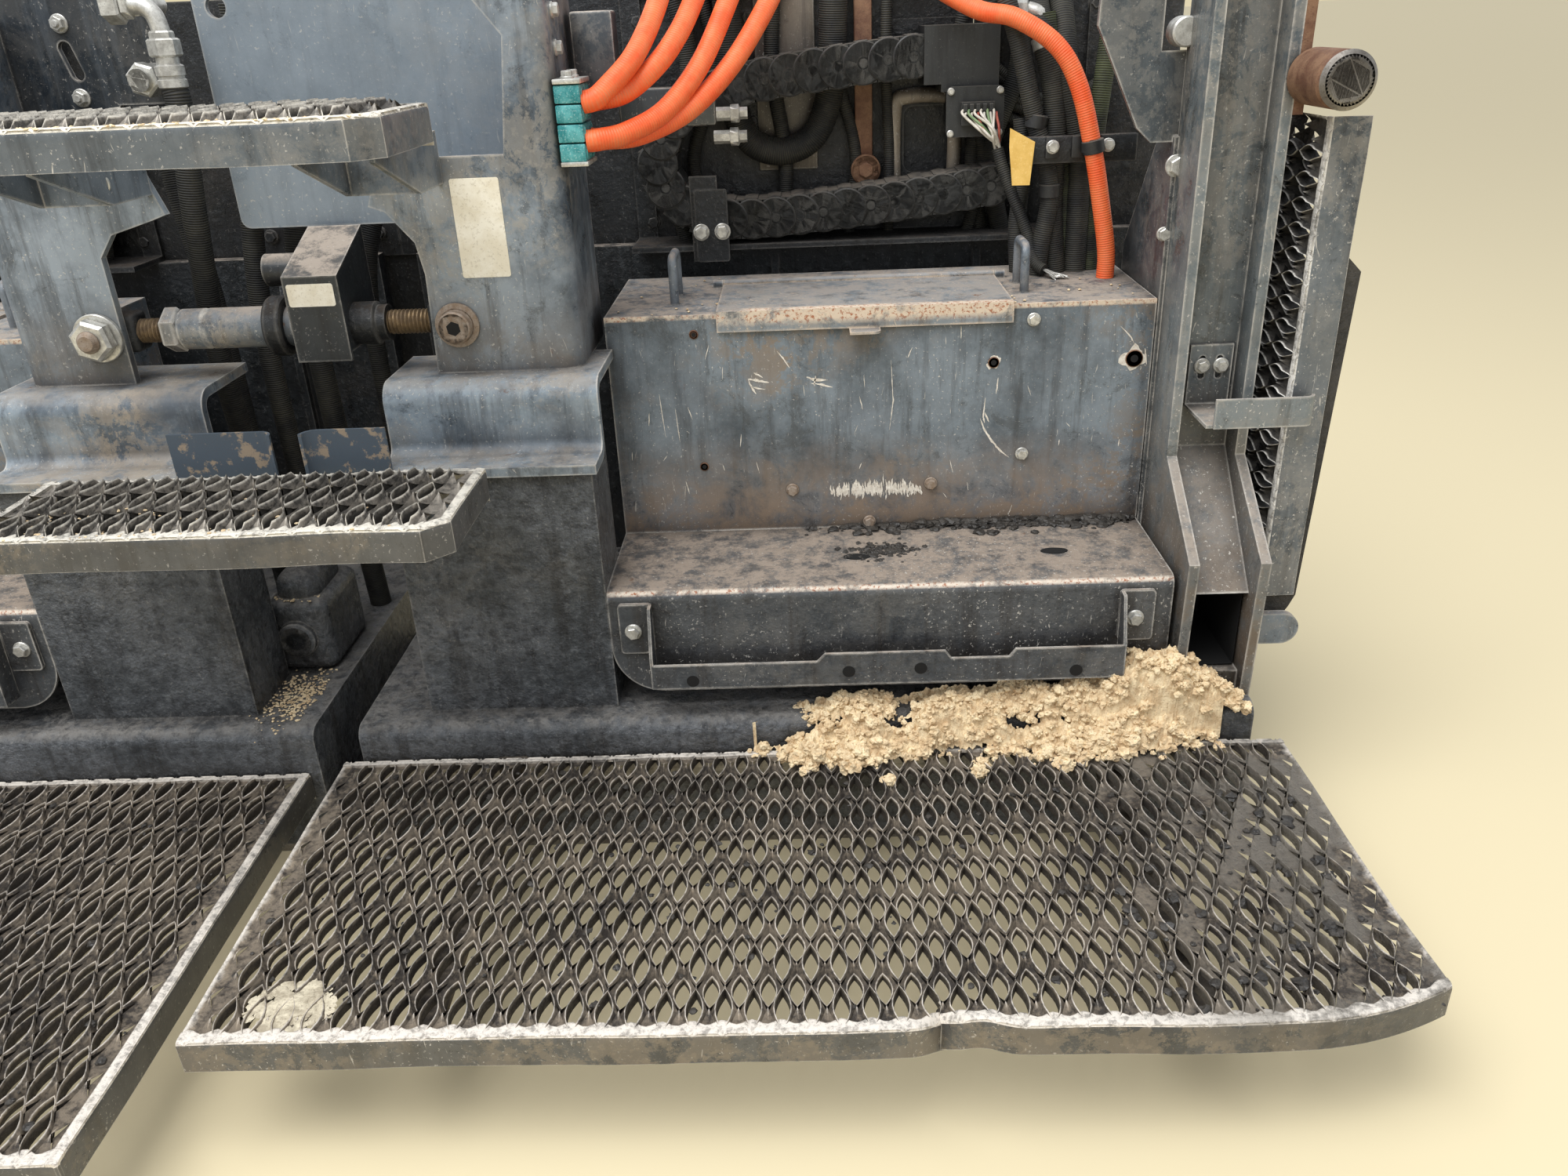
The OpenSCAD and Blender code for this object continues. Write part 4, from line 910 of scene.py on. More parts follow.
def make_hoses(finish):
    """Four orange hoses from the clamps and one from the locker, all up into the rack,
    and the black ones beside them and behind the crown."""
    clamped = (
        [(383, 163, 929), (397, 164, 932), (411, 175, 943), (437, 200, 969),
         (454, 235, 999), (467, 270, 1032), (470, 320, 1056), (470, 440, 1060)],
        [(383, 195, 929), (397, 196, 930), (429, 205, 937), (466, 225, 965),
         (491, 260, 998), (507, 300, 1031), (515, 350, 1056), (515, 450, 1060)],
        [(383, 163, 887), (397, 165, 888), (428, 180, 893), (472, 215, 914),
         (514, 260, 962), (548, 320, 1030), (556, 365, 1054), (558, 450, 1060)],
        [(383, 195, 887), (400, 197, 886), (442, 210, 889), (498, 240, 912),
         (551, 285, 960), (598, 340, 1028), (606, 380, 1054), (608, 460, 1060)])
    from_locker = [
        (1050, 380, 664), (1049, 380, 700), (1037, 380, 763), (1021, 380, 834),
        (998, 384, 912), (967, 392, 962), (915, 410, 996), (868, 440, 1008),
        (800, 520, 1050), (790, 586, 1060)]
    runs = [(route + [(route[-1][0], 586, 1060)], 12.5) for route in clamped]
    orange = add_hoses("orange_sleeved_hoses", runs + [(from_locker, 12)], finish["orange"])
    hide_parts("orange_hoses")
    black = add_hoses("black_hoses_right", (
        ([(990, 438, 664), (981, 438, 757), (981, 438, 830), (976, 440, 910),
          (957, 446, 978), (950, 500, 1040), (950, 586, 1060)], 16),
        ([(1020, 440, 664), (1019, 440, 755), (1016, 440, 828), (993, 440, 929),
          (985, 490, 1030), (985, 586, 1060)], 16)), finish["hose"])
    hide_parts("black_hoses")
    centre = add_hoses("centre_hose", (
        ([(-113, 220, 960), (-113, 220, 930), (-130, 225, 800), (-160, 262, 600),
          (-160, 300, 260), (-160, 300, 193)], 15),
        ([(-72, 330, 1050), (-76, 330, 960), (-92, 300, 800), (-110, 300, 620),
          (-112, 320, 300), (-112, 330, 193)], 14),
        ([(-30, 420, 1050), (-34, 400, 900), (-60, 350, 760), (-62, 350, 560),
          (-60, 370, 300), (-60, 380, 193)], 16),
        ([(60, 450, 1050), (52, 430, 860), (10, 400, 700), (4, 400, 480),
          (10, 410, 193)], 13),
        ([(190, 420, 1050), (182, 410, 900), (150, 400, 720), (146, 400, 480),
          (150, 410, 193)], 14),
        ([(-240, 420, 1050), (-232, 400, 860), (-214, 390, 640), (-214, 400, 193)], 16)),
        finish["hose"])
    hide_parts("centre_hoses")


# Turnbuckle, clamps and fasteners


def thread(start, end, core):
    """Steps of a coarse thread for add_lathed, from start to end (mm)."""
    pitch, depth = 5.0, 1.8
    steps = [(core, start)]
    z = start
    while z + pitch <= end:
        steps += [(core + depth, z + pitch * 0.4), (core + depth, z + pitch * 0.6),
                  (core, z + pitch)]
        z += pitch
    return steps


def make_turnbuckle(finish):
    """Tube between two threaded rods that sets the crown, with its nuts and yokes, all
    on an axis along X."""
    y, z = 170, 684
    axis = at((0, y, z), (1, 0, 0))
    bm = bmesh.new()
    add_lathed(bm, axis, thread(-205, -168, 13.4))
    add_lathed(bm, axis, thread(18, 168, 13.4))
    rods = add_piece("turnbuckle_rods_and_nuts", bm, finish["rod"],
                     smooth=40)
    bm = bmesh.new()
    add_lathed(bm, axis, [(23, -150), (25, -147), (25, -118), (24.4, -116), (24.4, -114),
                          (25, -112), (25, -3), (23, 0)], sides=40)
    for x in (-170, 0):
        add_lathed(bm, axis, [(25, x), (28, x + 2.5), (28, x + 17.5), (25, x + 20)], sides=6)
    tube = add_piece("turnbuckle_tube", bm, finish["tube"], smooth=40)
    bm = bmesh.new()
    add_lathed(bm, axis, [(20, 62), (26, 65), (26, 98), (22, 100), (22, 112)], sides=36)
    add_lathed(bm, axis, [(27, -38), (35, -36), (37, -33), (37, -18), (35, -15), (27, -13)],
               sides=36)
    boss = add_piece("turnbuckle_boss", bm, finish["inside"], smooth=40)
    bm = bmesh.new()
    for low_x, high_x in ((-272, -202), (165, 235)):
        add_box(bm, (low_x, y - 18, z - 24), (high_x, y + 18, z + 24), soften=6, segments=3)
    yokes = add_piece("turnbuckle_yokes", bm, finish["inside"], smooth=40)
    bm = bmesh.new()
    add_lathed(bm, at((-242, 140, z), REAR), [(30, 0), (30, 4.5), (29, 5.5)], sides=36)
    add_lathed(bm, at((-242, 134, z), REAR, 12), [(23, 0), (26, 2), (26, 15), (22, 19)],
               sides=6)
    nut = add_piece("turnbuckle_nut", bm, finish["zinc"], smooth=30)
    bm = bmesh.new()
    add_lathed(bm, at((-242, 116, z), REAR), thread(0, 8, 12) + [(9, 9)], sides=24)
    add_socket_bolt(bm, (205, 140, z), REAR, radius=20, head=21)
    ends = add_piece("turnbuckle_bolts", bm, finish["old_bolt"], smooth=40)
    for piece in (rods, tube, boss, yokes, nut, ends):
        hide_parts("turnbuckle")


def add_box(bm, low, high, soften=0.8, segments=2):
    """Box between two corners (mm) with softened edges."""
    verts = bmesh.ops.create_cube(bm, size=1.0)["verts"]
    low, high = Vector(low), Vector(high)
    size = Matrix.Diagonal((*((high - low) * MM), 1))
    bmesh.ops.transform(bm, matrix=Matrix.Translation((low + high) / 2 * MM) @ size,
                        verts=verts)
    if soften:
        edges = list({e for v in verts for e in v.link_edges})
        bmesh.ops.bevel(bm, geom=edges, offset=soften * MM, segments=segments, profile=0.5,
                        affect="EDGES", material=-1)


def mirrored(side, low, high):
    """The corners of a box of the right half (mm), or of its mirror image on the left."""
    x0, x1 = sorted((side * low[0], side * high[0]))
    return (x0, *low[1:]), (x1, *high[1:])


def make_clamp_stack(finish):
    """Four twin clamp blocks on the centre post between two caps, held by two bolts."""
    bm = bmesh.new()
    for z in range(866, 950, 21):
        add_box(bm, (353, 148, z), (383, 210, z + 19.4), 1.6)
        for y in (154, 176, 192, 202):
            add_box(bm, (382, y, z + 3), (384.2, y + 4, z + 16.5), 0.6, 1)
    blocks = add_piece("clamp_blocks", bm, finish["teal"], smooth=40)
    bm = bmesh.new()
    add_box(bm, (353, 146, 861), (385, 212, 866), 0.8)
    add_box(bm, (353, 146, 949.6), (385, 212, 955), 0.8)
    for y in (162, 196):
        add_hex_bolt(bm, (368, y, 955), (0, 0, 1), across=12, head=6, washer=8)
    caps = add_piece("clamp_caps", bm, finish["zinc"], smooth=40)
    for piece in (blocks, caps):
        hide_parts("hose_clamps")


def make_clamp_bar(finish):
    """The bar over the locker with the clips that hold the hoses to it."""
    bm = bmesh.new()
    add_box(bm, (915, 400, 815), (1085, 412, 850), 1.5)
    bar = add_piece("hose_clamp_bar", bm, finish["inside"], smooth=40)
    bm = bmesh.new()
    for x, y, z, r in ((955, 433, 833, 16.5), (990, 433, 833, 16.5), (1021, 382, 838, 14.5)):
        add_lathed(bm, at((x, y, z - 9), (-0.03, 0.0, 1)),
                   [(r - 3, 0), (r, 1), (r, 17), (r - 3, 18)], sides=28)
    for x in (970, 1005, 1044):
        add_box(bm, (x - 9, 394, 822), (x + 9, 400.5, 850), 1.5)
    clips = add_piece("hose_clips", bm, finish["plastic"], smooth=40)
    for piece in (bar, clips):
        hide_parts("hose_clamps")
    bm = bmesh.new()
    for x in (970, 1044):
        add_hex_bolt(bm, (x, 394, 837), REAR, across=13, head=6, washer=9, spin=x)
    add_piece("clamp_bar_bolts", bm, finish["zinc"], smooth=30)


def make_plate_bolts(finish):
    """Zinc-plated heads, the same on both halves where they repeat, and dusty ones low on
    the lockers' fronts."""
    locker_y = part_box("locker_right")[0].y / MM
    bm = bmesh.new()
    for side in SIDES_OF_CROWN:
        # The locker's front, its wall above, the rail, the end post's plates
        for x, y, z, across, head, washer, spin in (
                (927, locker_y, 643, 13, 5.5, 9, 5), (920, locker_y, 460, 13, 5.5, 9, 20),
                (482, 484, 729, 17, 7, 12, 482), (513, 484, 729, 17, 7, 12, 513),
                (399, 36, 307, 15, 6.5, 11, 399), (1037, 36, 307, 15, 6.5, 11, 1037),
                (1134, 185, 588, 13, 6, 10, 2268), (1158, 185, 588, 13, 6, 10, 2316),
                (1091, 234, 826, 19, 9, 14, 0), (1085, 240, 744, 14, 6, 9, 0)):
            add_hex_bolt(bm, (side * x, y, z), REAR, across, head, washer, spin)
        add_hex_bolt(bm, (side * 1172, 190, 391), REAR, across=12, head=5, washer=8, stud=8)
        add_lathed(bm, at((side * 1086, 244, 975), REAR), [(17, -12), (17, 16), (15, 18)],
                   sides=30)
        for z in (1026, 987):
            add_hex_bolt(bm, (side * 353, 190, z), (side, 0, 0), across=13, head=6, washer=9)
    for x, z in ((-264, 1035), (-261, 951)):
        add_hex_bolt(bm, (x, 280, z), REAR, across=15, head=7, washer=11, stud=4)
    add_hex_bolt(bm, (-142, 54, 872), REAR, across=16, head=7, washer=14, stud=5)
    add_hex_bolt(bm, (54, 168, 752), (0, -0.5, 0.866), across=13, head=6, washer=9)
    add_piece("plate_bolts", bm, finish["zinc"], smooth=30)
    bm = bmesh.new()
    for side in SIDES_OF_CROWN:
        for x, z in ((797, 421), (606, 418), (712, 367)):
            add_hex_bolt(bm, (side * x, locker_y, z), REAR, across=13, head=6, washer=9,
                         spin=x)
    add_piece("locker_bolts_dusty", bm, finish["old_bolt"], smooth=30)


# Weld nuts in the lockers' fronts: x, z and the radii of the rim and of the hole (mm)
WELD_NUTS = ((1061, 587, 8.5, 5), (877, 588, 4.5, 3.6), (484, 639, 3, 3), (486, 456, 3, 3))


def make_rims(finish):
    """Rims of the lockers' weld nuts, with the primer splashed round them, and of the
    stops with the bolts in their middle."""
    locker_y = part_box("locker_right")[0].y / MM
    pale = bmesh.new()
    bm = bmesh.new()
    for side in SIDES_OF_CROWN:
        for x, z, r, _ in WELD_NUTS:
            add_lathed(bm, at((side * x, locker_y, z), REAR),
                       [(r + 3, -1), (r + 3, 1.2), (r + 2, 1.8), (r, 1.8), (r, 0.4)],
                       sides=28)
            if r > 4:
                splash = []
                for k in range(24):
                    t = 2 * math.pi * k / 24
                    out = r * 1.5 + 2.0 + 1.3 * r * noise.noise(Vector((2 * t, r, 3)))
                    splash.append((out * math.cos(t), out * math.sin(t)))
                add_plate(pale, splash, 0.3, upright(side * x, locker_y, z))
    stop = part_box("stops")[1].x / MM - 30
    worn = bmesh.new()
    for side in SIDES_OF_CROWN:
        add_lathed(bm, at((side * stop, 74.2, 926), REAR),
                   [(16.6, 0), (16.6, 13), (14, 15), (10.5, 15), (10.5, 7), (0.5, 7)], sides=32)
        add_lathed(worn, at((side * stop, 50, 926), REAR),
                   [(20.3, -0.6), (20.8, 0.4), (25.6, 0.4), (30.2, -4.2)], sides=40)
        add_hex_bolt(worn, (side * stop, 67.4, 926), REAR, across=11, head=4,
                     washer=8, spin=12)
    add_piece("stop_rims", worn, finish["sole"], smooth=30)
    add_piece("weld_nut_rims", bm, finish["rust"], smooth=30)
    add_piece("primer_round_the_nuts", pale, finish["primer"])


def make_shade_in_holes(finish):
    """Near-black patches of painted shade: in the weld nuts' and ledge's holes, on the
    rail's and the end sockets' inner faces, and in the hexagon of the turnbuckle's bolt."""
    locker_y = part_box("locker_right")[0].y / MM
    bm = bmesh.new()
    for side in SIDES_OF_CROWN:
        for x, z, _, r in WELD_NUTS:
            add_lathed(bm, at((side * x, locker_y, z), REAR), [(r, 0), (r, 2.0)], sides=24)
        for x in (690, 950):
            oval = Matrix.Translation(Vector((side * x, 130, 360.2)) * MM)
            add_plate(bm, [(18 * math.cos(0.3 * k), 9 * math.sin(0.3 * k)) for k in range(21)],
                      0.9, oval)
        for x, z in ((474, 250), (673, 258), (764, 260), (960, 251)):
            add_lathed(bm, at((side * x, 4, z), REAR), [(8, 0), (8, 0.4)], sides=24)
        for low, high in (((1106.2, 205, 224.2), (1175.8, 208, 331.8)),
                          ((1106.2, 56, 224.2), (1175.8, 206, 224.8)),
                          ((1106.2, 56, 331.2), (1175.8, 206, 331.8)),
                          ((1106.2, 56, 224.2), (1106.8, 206, 331.8)),
                          ((1175.2, 56, 224.2), (1175.8, 206, 331.8))):
            add_box(bm, *mirrored(side, low, high), soften=0)
    add_lathed(bm, at((205, 140, 684), REAR, 8), [(9, 19), (9, 21.2)], sides=6)
    add_piece("holes_in_painted_shade", bm, finish["black"], smooth=30)


def make_labels(finish):
    """Blank vinyl labels on the right centre post and on the turnbuckle's cover."""
    bm = bmesh.new()
    add_plate(bm, rounded(58, 114, 3), 0.5, upright(221, 140, 740))
    add_plate(bm, rounded(57, 27, 3), 0.5, upright(6, 133, 714))
    add_piece("blank_labels", bm, finish["label"])


# Cable, wires and the bundle in front of the lockers


BUNDLE = Vector((905, 452, 828))  # where the loose wires gather, in mm


def make_connector(finish):
    """Screws and pins of the connector, and the loose wires that leave it."""
    bm = bmesh.new()
    for x, z in ((842, 851), (910, 851), (842, 906), (910, 906)):
        add_hex_bolt(bm, (x, 480, z), REAR, across=7, head=3, washer=5, spin=x)
    add_piece("connector_screws", bm, finish["zinc"], smooth=30)
    bm = bmesh.new()
    for k in range(5):
        add_box(bm, (858 + 9 * k, 466, 880), (864 + 9 * k, 470.5, 890), 0.8, 1)
    add_piece("connector_pins", bm, finish["plastic"])
    for k in range(12):
        bm = bmesh.new()
        x = 858 + 4.2 * k
        start = Vector((x, 468, 882 - 4 * (k % 2)))
        bow = Vector((rng.uniform(-9, 9), -rng.uniform(8, 20), rng.uniform(-6, 6)))
        route = [start, start + Vector((0, -6, -6)), start.lerp(BUNDLE, 0.5) + bow,
                 BUNDLE + Vector((rng.uniform(-4, 4), rng.uniform(-4, 4), 6)),
                 BUNDLE + Vector((rng.uniform(-4, 4), rng.uniform(-4, 4), -6))]
        add_tube(bm, smooth_route(route, 5), 1.9, sides=8)
        tone = {2: "wire_green", 5: "wire_red"}.get(k % 6, "wire_pale")
        add_piece("wire_%02d" % k, bm, finish[tone], smooth=60)


def make_cut_cable(finish):
    """The cable that hangs from the wires on to the locker and ends bare in its braid."""
    route = smooth_route([BUNDLE + Vector((0, 0, 4)), (915, 446, 800), (930, 436, 762),
                          (946, 428, 724), (952, 420, 700), (958, 408, 681), (968, 396, 674)], 4)
    bm = bmesh.new()
    add_tube(bm, route, 8, sides=16)
    cable = add_piece("cut_cable", bm, finish["hose"], smooth=60)
    bm = bmesh.new()
    for _ in range(26):
        a = rng.uniform(0, 2 * math.pi)
        out = Vector((math.cos(a), 0.5 * math.sin(a), 0.6 * math.sin(a))) * rng.uniform(2, 8)
        tip = Vector((986, 376, 668)) + out + Vector((rng.uniform(-8, 8), 0, 0))
        add_tube(bm, smooth_route([(966, 399, 675), Vector((972, 391, 673)) + out * 0.4, tip], 3),
                 0.9, sides=6)
    braid = add_piece("cable_braid_end", bm, finish["zinc"], smooth=60)


def make_tag(finish):
    """A blank yellow tag that hangs aslant in front of the clamp bar."""
    bm = bmesh.new()
    flat = Matrix(((0.93, 0.1, -0.3, 906 * MM), (-0.3, 0.1, -0.95, 394 * MM),
                   (-0.1, 0.99, 0.1, 791 * MM), (0, 0, 0, 1)))
    add_plate(bm, [(12, 0), (36, 3), (36, 58), (0, 72), (2, 48)], 0.6, flat)
    add_piece("yellow_tag", bm, finish["tag"])


def make_carriers(finish):
    """Cable carriers: links whose round cheeks overlap like scales, with bars across
    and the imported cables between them, along one route and its mirror image."""
    centre = [p / MM for p in smooth_route([(x, 530, z) for x, z in (
        (905, 776), (780, 761), (650, 748), (540, 742), (478, 752), (436, 786), (424, 828),
        (440, 874), (482, 904), (535, 922), (610, 934), (720, 946), (795, 952))], 12)]
    link_pitch = 35.0
    places, way = [], 0.0
    for a, b in zip(centre, centre[1:]):
        step = (b - a).length
        while way <= step:
            places.append((a.lerp(b, way / step), (b - a).normalized()))
            way += link_pitch
        way -= step
    for side, name in ((1, "cable_carriers_right"), (-1, "cable_carriers_left")):
        bm = bmesh.new()
        for place, heading in places:
            link = bmesh.new()
            along = Vector((heading.x * side, 0, heading.z))
            middle = Vector((place.x * side, place.y, place.z))
            for y, out in ((-29, -1), (29, 1)):
                axis = Vector((0, out, 0)) + along * 0.085
                add_lathed(link, at(middle + Vector((0, y - 0.5 * out, 0)), axis),
                           [(29, -4), (29, 1.6), (27.4, 3), (9, 3), (8, 2.2), (6.6, 2.2),
                            (6, 3)], sides=28)
            up = along.cross(Vector((0, 1, 0)))
            frame_of = Matrix((along, Vector((0, 1, 0)), -up)).transposed().to_4x4()
            for lift, length, width, thick in ((-26, 19, 52, 5), (26, 19, 52, 5),
                                               (0, 36, 57, 54)):
                m = Matrix.Translation((middle + up * lift) * MM) @ frame_of
                bmesh.ops.create_cube(link, size=1.0, matrix=m @ Matrix.Diagonal(
                    (length * MM, width * MM, thick * MM, 1)))
            join(bm, link)
        piece = add_piece(name, bm, finish["plastic"], smooth=30)
        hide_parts("cable_carriers")


def make_shade_plates(finish):
    """Near-black plates with their bolts, put in as painted shade: behind the carriers they
    darken the rack, and a sheet under the gap between the base frames keeps out the light
    from below. A plate closes the joint at the crown in front."""
    bm = bmesh.new()
    for side in SIDES_OF_CROWN:
        # Painted shade: near-black plates at the back of the rack
        for x0, x1, y0 in ((0, 378, 594), (377, 757, 592), (757, 886, 599), (886, 1186, 592)):
            add_box(bm, *mirrored(side, (x0, y0, 694), (x1, y0 + 3, 1062)), segments=1)
        for x in (30, 200, 400, 560, 730, 905, 1060):
            for z in (730, 870, 1010):
                add_hex_bolt(bm, (side * x, 592, z), REAR, across=15, head=6, washer=11,
                             spin=x)
    add_box(bm, (-150, 599, 480), (150, 602, 710), 0.8, 1)
    for x in (-130, -50, 50, 130):
        for z in (510, 595, 680):
            add_hex_bolt(bm, (x, 602, z), (0, 1, 0), across=13, head=4, washer=9, spin=z)
    for x in (190, 290, 390, 500, 620, 740, 900, 1030, 1160):
        front = 597 if x < 378 else 595
        for z in (724, 1036):
            for side in SIDES_OF_CROWN:
                add_hex_bolt(bm, (side * x, front, z), (0, 1, 0), across=15, head=6,
                             washer=10, spin=x)
    # Painted shade: a dark sheet under the gap between the base frames
    add_box(bm, (-110, 8, 60), (60, 520, 66), 0, 1)
    add_piece("dark_plates_painted_shade", bm, finish["inside"])


def make_crown_lug(finish):
    """The tarred lug on the base at the crown, with its round boss."""
    bm = bmesh.new()
    add_box(bm, (-141, 162, 190), (-52, 300, 300), 16, 4)
    add_box(bm, (-128, 176, 280), (-66, 286, 336), 24, 5)
    add_lathed(bm, at((-97, 164, 246), REAR),
               [(26, -4), (26, 10), (22, 14), (14, 14), (14, 6), (0.5, 6)], sides=30)
    add_piece("crown_lug", bm, finish["tarred"], smooth=50)


def make_window_frames(finish):
    """A pressed frame round a window in the rack and the flat plate beside it."""
    corners = [(787, 762), (842, 762), (858, 778), (858, 880), (842, 896), (787, 896),
               (771, 880), (771, 778)]
    bm = bmesh.new()
    for side in SIDES_OF_CROWN:
        ring = [(side * x, 578, z) for x, z in corners]
        add_tube(bm, smooth_route(ring + ring[:2], 5), 11, sides=12)
        add_box(bm, *mirrored(side, (568, 586, 800), (656, 591, 1040)), soften=2)
    add_piece("pressed_window_frames", bm, finish["tan"], smooth=50)


def make_link_arms(finish):
    """A rusty arm that hangs in the rack with its boss and bolt below."""
    bm = bmesh.new()
    for side in SIDES_OF_CROWN:
        add_box(bm, *mirrored(side, (712, 572, 800), (738, 586, 1040)), soften=3)
        add_lathed(bm, at((side * 727, 588, 798), REAR),
                   [(22, 0), (22, 26), (20, 28), (13, 28), (13, 22)], sides=30)
        add_hex_bolt(bm, (side * 727, 566, 798), REAR, across=20, head=8)
    add_piece("link_arms", bm, finish["rust"], smooth=40)


def make_conduits(finish):
    """The thick conduit that loops down in the rack, the ones that hang behind it and
    five that run across."""
    loop = [(532, 560, 1050), (533, 562, 960), (537, 568, 885), (560, 570, 842),
            (604, 570, 828), (650, 570, 848), (674, 568, 900), (680, 566, 960),
            (684, 560, 1050)]
    bm = bmesh.new()
    for side in SIDES_OF_CROWN:
        add_tube(bm, smooth_route([(side * x, y, z) for x, y, z in loop], 8), 20, sides=20)
        for x, y, r in ((700, 575, 9), (600, 575, 11), (760, 570, 8),
                        (900, 572, 12), (880, 560, 9), (455, 560, 14), (490, 575, 10),
                        (930, 560, 14), (960, 575, 11)):
            lean = rng.uniform(-22, 22)
            add_tube(bm, smooth_route([
                (side * x, y, 1062), (side * (x + lean), y + 4, 940),
                (side * (x - lean), y, 820), (side * x, y, 706)], 8), r, sides=14)
        for k in range(5):
            z = 790 + 16 * k
            add_tube(bm, smooth_route([
                (side * 1080, 574, z + 60), (side * 990, 565, z + rng.uniform(20, 60)),
                (side * 900, 574, z + 90), (side * 830, 590, z + 120)], 6), 8, sides=12)
    add_piece("conduits_in_the_rack", bm, finish["hose"], smooth=60)


def make_hanging_hoses(finish):
    """Hoses beside the clamp bar that drop to the locker, and rubber sleeves on them."""
    add_hoses("hanging_hoses", (
        ([(900, 445, 1060), (907, 430, 1017), (926, 428, 960), (951, 428, 868),
          (968, 424, 815), (975, 422, 765), (966, 420, 705), (962, 418, 662)], 12.5),
        ([(936, 452, 870), (941, 446, 800), (934, 444, 730), (938, 442, 662)], 11)),
        finish["hose"])
    add_hoses("mossy_hoses", (
        ([(1060, 470, 1060), (1046, 452, 930), (1038, 448, 820), (1042, 446, 662)], 13),
        ([(962, 450, 1000), (972, 446, 930), (984, 448, 860), (1000, 450, 780),
          (1004, 452, 662)], 13)), finish["moss"])
    bm = bmesh.new()
    for place, axis, r in (((951, 428, 858), (0.2, 0, 1), 15), ((974, 422, 768), (0, 0, 1), 14.5),
                           ((1023, 380, 828), (-0.2, 0, 1), 14.6)):
        add_lathed(bm, at(place, axis), [(r - 3, 0), (r, 1.5), (r, 17), (r - 3, 18.5)],
                   sides=24)
    add_piece("rubber_sleeves", bm, finish["plastic"], smooth=40)


def make_elbows(finish):
    """The elbow of the hose by the wires, and two hexagon fittings by the carriers."""
    bm = bmesh.new()
    add_lathed(bm, at((956, 445, 980), (0.25, -0.2, -1)),
               [(9, -8), (13, -6), (13, 8), (16, 10), (16, 24), (12, 26), (12, 38)], sides=24)
    add_tube(bm, smooth_route([(956, 446, 984), (953, 448, 1000), (938, 452, 1006)], 6), 9,
             sides=16)
    add_lathed(bm, at((938, 452, 1006), (-1, 0.1, 0)), [(12, 0), (14, 2), (14, 14), (12, 16)],
               sides=6)
    for x, z in ((513, 891), (511, 861)):
        add_lathed(bm, at((x, 455, z), (1, 0, 0)),
                   [(9, 0), (9, 22), (12, 23), (12, 34), (8, 36), (8, 46)], sides=6)
    add_piece("hose_elbows", bm, finish["zinc"], smooth=35)


def make_stay_plates(finish):
    """Small dark plates by the carriers' loop and above the clamp blocks."""
    bm = bmesh.new()
    for side in SIDES_OF_CROWN:
        add_box(bm, *mirrored(side, (400, 328, 886), (524, 334, 934)), soften=4)
        add_box(bm, *mirrored(side, (359, 262, 926), (411, 300, 1024)), soften=4)
    add_piece("stay_plates", bm, finish["dark_panel"], smooth=40)


def make_fittings(finish):
    """Zinc-plated elbow, nuts and ferrule on the hose of the crown, and a spare port."""
    bm = bmesh.new()
    add_lathed(bm, at((-113, 220, 960)),
               [(15, 0), (16.5, 1), (16.5, 9), (14.8, 10), (14.8, 13), (16.5, 14),
                (16.5, 24), (15, 25), (13, 26), (13, 35)], sides=32)
    add_lathed(bm, at((-113, 220, 994)), [(16, 0), (18.5, 2), (18.5, 18), (16, 20)], sides=6)
    add_tube(bm, smooth_route([(-113, 220, 1012), (-113, 220, 1024), (-116, 220, 1038),
                               (-124, 220, 1047), (-135, 220, 1050), (-152, 220, 1050)], 5),
             10.5, sides=22)
    add_lathed(bm, at((-113, 220, 1012)), [(14, 0), (14, 8), (12, 10)], sides=6)
    add_lathed(bm, at((-149, 220, 1050), (-1, 0, 0)), [(17, 0), (20, 2), (20, 20), (17, 22)],
               sides=6)
    add_lathed(bm, at((-140, 220, 1050), (-1, 0, 0)), [(13, 0), (15, 1), (15, 8), (13, 9)],
               sides=6)
    add_lathed(bm, at((-139, 280, 1050), REAR), [(12, 0), (12, 58)], sides=24)
    add_lathed(bm, at((-153, 280, 970), REAR, 12),
               [(18, 0), (18, 30), (20, 32), (20, 52), (17, 54)], sides=6)
    add_lathed(bm, at((-153, 280, 970), REAR), [(13, 50), (13, 62), (9, 62), (9, 56)],
               sides=28)
    piece = add_piece("elbow_and_port", bm, finish["zinc"], smooth=32)
    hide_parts("hose_fittings")


def add_scratch(bm, route, width, y):
    """A ragged stroke (mm) of bared primer on an upright face at Y."""
    part = bmesh.new()
    n = max(3, int((Vector(route[-1]) - Vector(route[0])).length / 3))
    bmesh.ops.create_grid(part, x_segments=n, y_segments=1, size=0.5)
    points = [Vector((x, 0, z)) for x, z in route]
    for v in part.verts:
        t = (v.co.x + 0.5) * (len(points) - 1)
        k = min(int(t), len(points) - 2)
        middle = points[k].lerp(points[k + 1], t - k)
        along = (points[k + 1] - points[k]).normalized()
        thin = math.sin(math.pi * min(0.97, max(0.03, v.co.x + 0.5))) ** 0.6
        off = along.cross(Vector((0, 1, 0))) * (0.5 * width * rng.uniform(0.3, 1.3) * thin)
        v.co = (middle + off * (1 if v.co.y > 0 else -1) + Vector((0, y, 0))) * MM
    part.normal_update()
    if part.faces[:][0].normal.y > 0:
        bmesh.ops.reverse_faces(part, faces=part.faces[:])
    bmesh.ops.solidify(part, geom=part.faces[:], thickness=0.25 * MM)
    join(bm, part)


